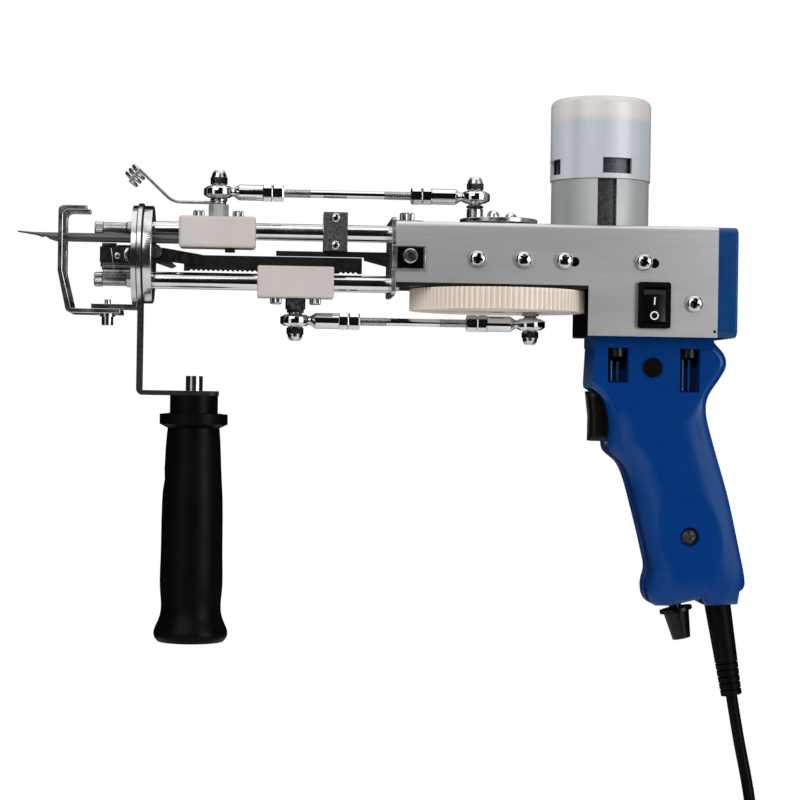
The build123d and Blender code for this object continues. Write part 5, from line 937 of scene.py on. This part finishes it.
def cutter_parts():
    """Ledges, ribbed holder, edge and rivet of the cutter's head, and the post under the upper slider."""
    low, high = CUTTER_NEAR, CUTTER_FAR
    dark, bright = Blank(), Blank()
    dark.bar((-268.9, -262.2), (low, high), (106.0, 107.7))
    dark.bar((-262.0, -255.0), (low + 0.4, high), (106.0, 106.9))
    dark.bar((-268.9, -255.2), (low + 0.3, high), (95.3, 98.6))
    ribbed = Blank()
    for height in (91.5, 92.3, 93.1, 93.9, 96.0, 96.7):
        ribbed.bar((-268.5, -255.3), (low + 0.1, low + 0.5), (height, height + 0.5))
    ribbed.bar((-268.6, -255.2), (low + 0.4, high), (91.4, 95.2))
    made("blade_holder", ribbed, FINE_FINISHES["dark_zinc"], "frame", "grey_steel", edges=0.1)
    post = Blank()
    post.bar((-211.6, -206.8), (POST_NEAR, POST_FAR), (POST_LOW, 106.6))
    made("slider_post", post, FINISHES["black_steel"], "needle_carriage", "black_steel", edges=0.15)
    made("cutter_ledges", dark, FINE_FINISHES["blade_steel"], "frame", "black_steel", edges=0.2)
    bright.raised("y", [(91.6, -262.7), (91.6, -262.4), (105.2, -264.4), (105.2, -264.7)],
                  low - 0.12, low + 0.2)
    bright.raised("y", [(98.2, -256.4), (99.4, -257.6), (101.2, -258.4), (102.9, -258.5), (104.6, -257.9),
                        (105.8, -256.6), (105.0, -256.3), (103.0, -257.2), (101.0, -257.2), (99.0, -256.2)],
                  low - 0.5, low + 0.2)
    made("cutter_edge", bright, FINE_FINISHES["nickel"], "frame", "polished_steel", edges=0.12)
    rivet = pan_head(1.6, 0.8, 0.6, 1.0, "cutter_rivet")
    rows_of_heads("cutter_rivet", rivet, [((-261.7, low, 101.8), (0, -1, 0))], FINE_FINISHES["zinc"], "frame",
                  "polished_steel")


screws()
links()
studs_and_bolts()
rod_fittings()
drive()
switch()
dark_openings()
grip_pockets()
cutter_parts()


# Camera

VIEW_TURN = math.radians(3.5)
VIEW_ROLL = math.radians(0.9)
VIEW_DISTANCE = 1019.35 * MM
VIEW_CENTRE = Vector((-127.66, 0, 36.29)) * MM
LENS = 96.57
SENSOR = 36.0


def take_view():
    """The photograph's view: level, turned a little to the rear, with a slight roll."""
    camera = put_in("camera", bpy.data.cameras.new("camera"))
    camera.data.lens = LENS
    camera.data.sensor_width = SENSOR
    ahead = Vector((math.sin(VIEW_TURN), math.cos(VIEW_TURN), 0))
    right = Vector((math.cos(VIEW_TURN), -math.sin(VIEW_TURN), 0))
    up = Vector((0, 0, 1))
    camera_right = right * math.cos(VIEW_ROLL) + up * math.sin(VIEW_ROLL)
    camera_up = up * math.cos(VIEW_ROLL) - right * math.sin(VIEW_ROLL)
    turn = Matrix((camera_right, camera_up, -ahead)).transposed().to_4x4()
    camera.matrix_world = Matrix.Translation(VIEW_CENTRE - ahead * VIEW_DISTANCE) @ turn
    bpy.context.scene.camera = camera


take_view()


# Mains lead

CORD_RADIUS = 2.75 * MM
RELIEF_TOP = Vector((26.0, 0, -57.4)) * MM
RELIEF_TILT = math.radians(9.75)
RELIEF_LENGTH = 45.6 * MM
CORD_ROUTE = (
    (37.2, 0.0, -122.6), (41.2, -1.8, -142.0), (43.4, -5.8, -160.0), (44.0, -9.75, -177.0),
    (44.0, -9.75, -192.0),
)
COIL_MEAN_RADIUS = 31.0 * MM
COIL_PITCH = 6.7 * MM
COIL_LAYER_PITCH = 6.5 * MM
COIL_LAYERS = 4
COIL_LAYER_TURNS = 1.875
COIL_CLIMB_TURNS = 0.5
COIL_POINTS_A_TURN = 16
PLUG_TAIL = 25.0 * MM


def coil_point(turns, start):
    """A point of the coil, after so many turns: layers that spiral in and out again."""
    growth = COIL_PITCH * COIL_LAYER_TURNS
    outer, inner = COIL_MEAN_RADIUS + growth / 2, COIL_MEAN_RADIUS - growth / 2
    centre = start + Vector((-outer, 0, -2 * CORD_RADIUS))
    one_layer = COIL_LAYER_TURNS + COIL_CLIMB_TURNS
    layer = min(int(turns / one_layer + 1e-9), COIL_LAYERS - 1)
    part = turns - layer * one_layer
    share = min(part / COIL_LAYER_TURNS, 1)
    climb = max(part - COIL_LAYER_TURNS, 0) / COIL_CLIMB_TURNS
    radius = outer - growth * share if layer % 2 == 0 else inner + growth * share
    angle = -2 * math.pi * turns
    return centre + Vector((radius * math.cos(angle), COIL_LAYER_PITCH * (layer + climb),
                            radius * math.sin(angle)))


def mains_lead():
    """The lead from its strain relief to the plug, with its put-away coil."""
    way = Vector((math.sin(RELIEF_TILT), 0, -math.cos(RELIEF_TILT)))
    leaves = RELIEF_TOP + way * RELIEF_LENGTH
    route = [leaves] + [Vector(point) * MM for point in CORD_ROUTE]
    total = (COIL_LAYERS - 1) * (COIL_LAYER_TURNS + COIL_CLIMB_TURNS) + COIL_LAYER_TURNS
    steps = round(total * COIL_POINTS_A_TURN)
    start = route[-1]
    route += [coil_point(total * step / steps, start) for step in range(steps + 1)]
    route.append(route[-1] + Vector((0, 0, -PLUG_TAIL)))
    curve = bpy.data.curves.new("mains_lead", "CURVE")
    curve.dimensions = "3D"
    line = curve.splines.new("NURBS")
    line.points.add(len(route) - 1)
    for point, place in zip(line.points, route):
        point.co = (*place, 1)
    line.order_u = 3
    line.use_endpoint_u = True
    line.resolution_u = 5
    curve.bevel_depth = CORD_RADIUS
    curve.bevel_resolution = 3
    curve.use_fill_caps = True
    lead = put_in("mains_lead", curve)
    curve.materials.append(FINISHES["black_rubber"])
    dress(lead, "frame", "black_rubber", "cord", "cord_coil")


mains_lead()


# Studio

FLOOR_RADIUS = 0.55
FLOOR_GAP = 1.5 * MM
CARD_LOW, CARD_HIGH, CARD_REAR = -1.1, 2.3, 1.4
RING_INNER, RING_OUTER = 0.06, 2.3
# Each lamp's name, place, size in metres and power in watts
LAMPS = (
    ("key_lamp", (-0.75, -1.15, 0.85), 1.0, 9),
    ("top_lamp", (0.1, 0.15, 1.2), 1.6, 4),
    ("fill_lamp", (0.95, -1.0, 0.25), 0.7, 7),
)


def studio_world():
    """A white room to the eye and in reflections, and a softer light on everything else."""
    world = bpy.data.worlds.new("studio")
    bpy.context.scene.world = world
    world.use_nodes = True
    tree = world.node_tree
    tree.nodes.clear()
    seen = tree.nodes.new("ShaderNodeBackground")
    seen.inputs["Color"].default_value = (1, 1, 1, 1)
    lit = tree.nodes.new("ShaderNodeBackground")
    lit.inputs["Color"].default_value = (1, 1, 1, 1)
    lit.inputs["Strength"].default_value = 0.6
    path = tree.nodes.new("ShaderNodeLightPath")
    either = tree.nodes.new("ShaderNodeMath")
    either.operation = "MAXIMUM"
    any_of = tree.nodes.new("ShaderNodeMath")
    any_of.operation = "MAXIMUM"
    mix = tree.nodes.new("ShaderNodeMixShader")
    out = tree.nodes.new("ShaderNodeOutputWorld")
    tree.links.new(path.outputs["Is Camera Ray"], either.inputs[0])
    tree.links.new(path.outputs["Is Glossy Ray"], either.inputs[1])
    tree.links.new(either.outputs[0], any_of.inputs[0])
    tree.links.new(path.outputs["Is Transmission Ray"], any_of.inputs[1])
    tree.links.new(any_of.outputs[0], mix.inputs["Fac"])
    tree.links.new(lit.outputs[0], mix.inputs[1])
    tree.links.new(seen.outputs[0], mix.inputs[2])
    tree.links.new(mix.outputs[0], out.inputs["Surface"])


def dark_card(name, corners, faces=((0, 1, 2, 3),)):
    """A dark card that only reflections see."""
    mesh = bpy.data.meshes.new(name)
    mesh.from_pydata(corners, [], faces)
    card = put_in(name, mesh)
    material, tree, shader, place = new_finish(name, (0.01, 0.01, 0.01), roughness=1.0)
    shader.inputs["Specular IOR Level"].default_value = 0.0
    mesh.materials.append(material)
    card.visible_camera = False
    card.visible_diffuse = False
    card.visible_shadow = False
    card.visible_transmission = False


def dark_ring(name, centre, inner, outer):
    """A dark ring behind the object, which only reflections see: it draws the edge of what is polished."""
    sides = 32
    corners = [centre + Vector((math.cos(2 * math.pi * number / sides), 0,
                                math.sin(2 * math.pi * number / sides))) * reach
               for reach in (inner, outer) for number in range(sides)]
    faces = [(number, (number + 1) % sides, sides + (number + 1) % sides, sides + number)
             for number in range(sides)]
    dark_card(name, corners, faces)


def soft_lamp(name, place, aim, size, power):
    """A soft square lamp that points at a place."""
    lamp = bpy.data.lights.new(name, "AREA")
    lamp.shape = "SQUARE"
    lamp.size = size
    lamp.energy = power
    holder = put_in(name, lamp)
    holder.location = place
    holder.rotation_euler = (Vector(aim) - Vector(place)).to_track_quat("-Z", "Y").to_euler()


def studio():
    """Floor, dark cards round the camera, the ring and three soft lamps."""
    studio_world()
    middle = (frame_low + frame_high) / 2
    mesh = bpy.data.meshes.new("floor")
    sides = 64
    rim = [(middle.x + FLOOR_RADIUS * math.cos(2 * math.pi * number / sides),
            middle.y + FLOOR_RADIUS * math.sin(2 * math.pi * number / sides), frame_low.z - FLOOR_GAP)
           for number in range(sides)]
    mesh.from_pydata(rim, [], [tuple(range(sides))])
    floor = put_in("floor", mesh)
    material, tree, shader, place = new_finish("pale_floor", (0.9, 0.9, 0.9), roughness=0.8)
    tint(tree, shader, grain(tree, place, 6.0), (0.88, 0.88, 0.88), (0.92, 0.92, 0.92))
    mesh.materials.append(material)
    dark_card("card_behind_camera", [(-1.3, -1.75, CARD_LOW), (0.8, -1.75, CARD_LOW),
                                     (0.8, -1.75, CARD_HIGH), (-1.3, -1.75, CARD_HIGH)])
    for name, x, front in (("card_at_left", -1.9, -1.35), ("card_at_right", 1.7, -0.9)):
        dark_card(name, [(x, front, CARD_LOW), (x, CARD_REAR, CARD_LOW), (x, CARD_REAR, CARD_HIGH),
                         (x, front, CARD_HIGH)])
    dark_ring("ring_behind", Vector((middle.x, 1.75, 0.04)), RING_INNER, RING_OUTER)
    for name, place, size, power in LAMPS:
        soft_lamp(name, place, (middle.x, 0, 0.03), size, power)


studio()
bpy.context.scene.view_settings.view_transform = "Standard"
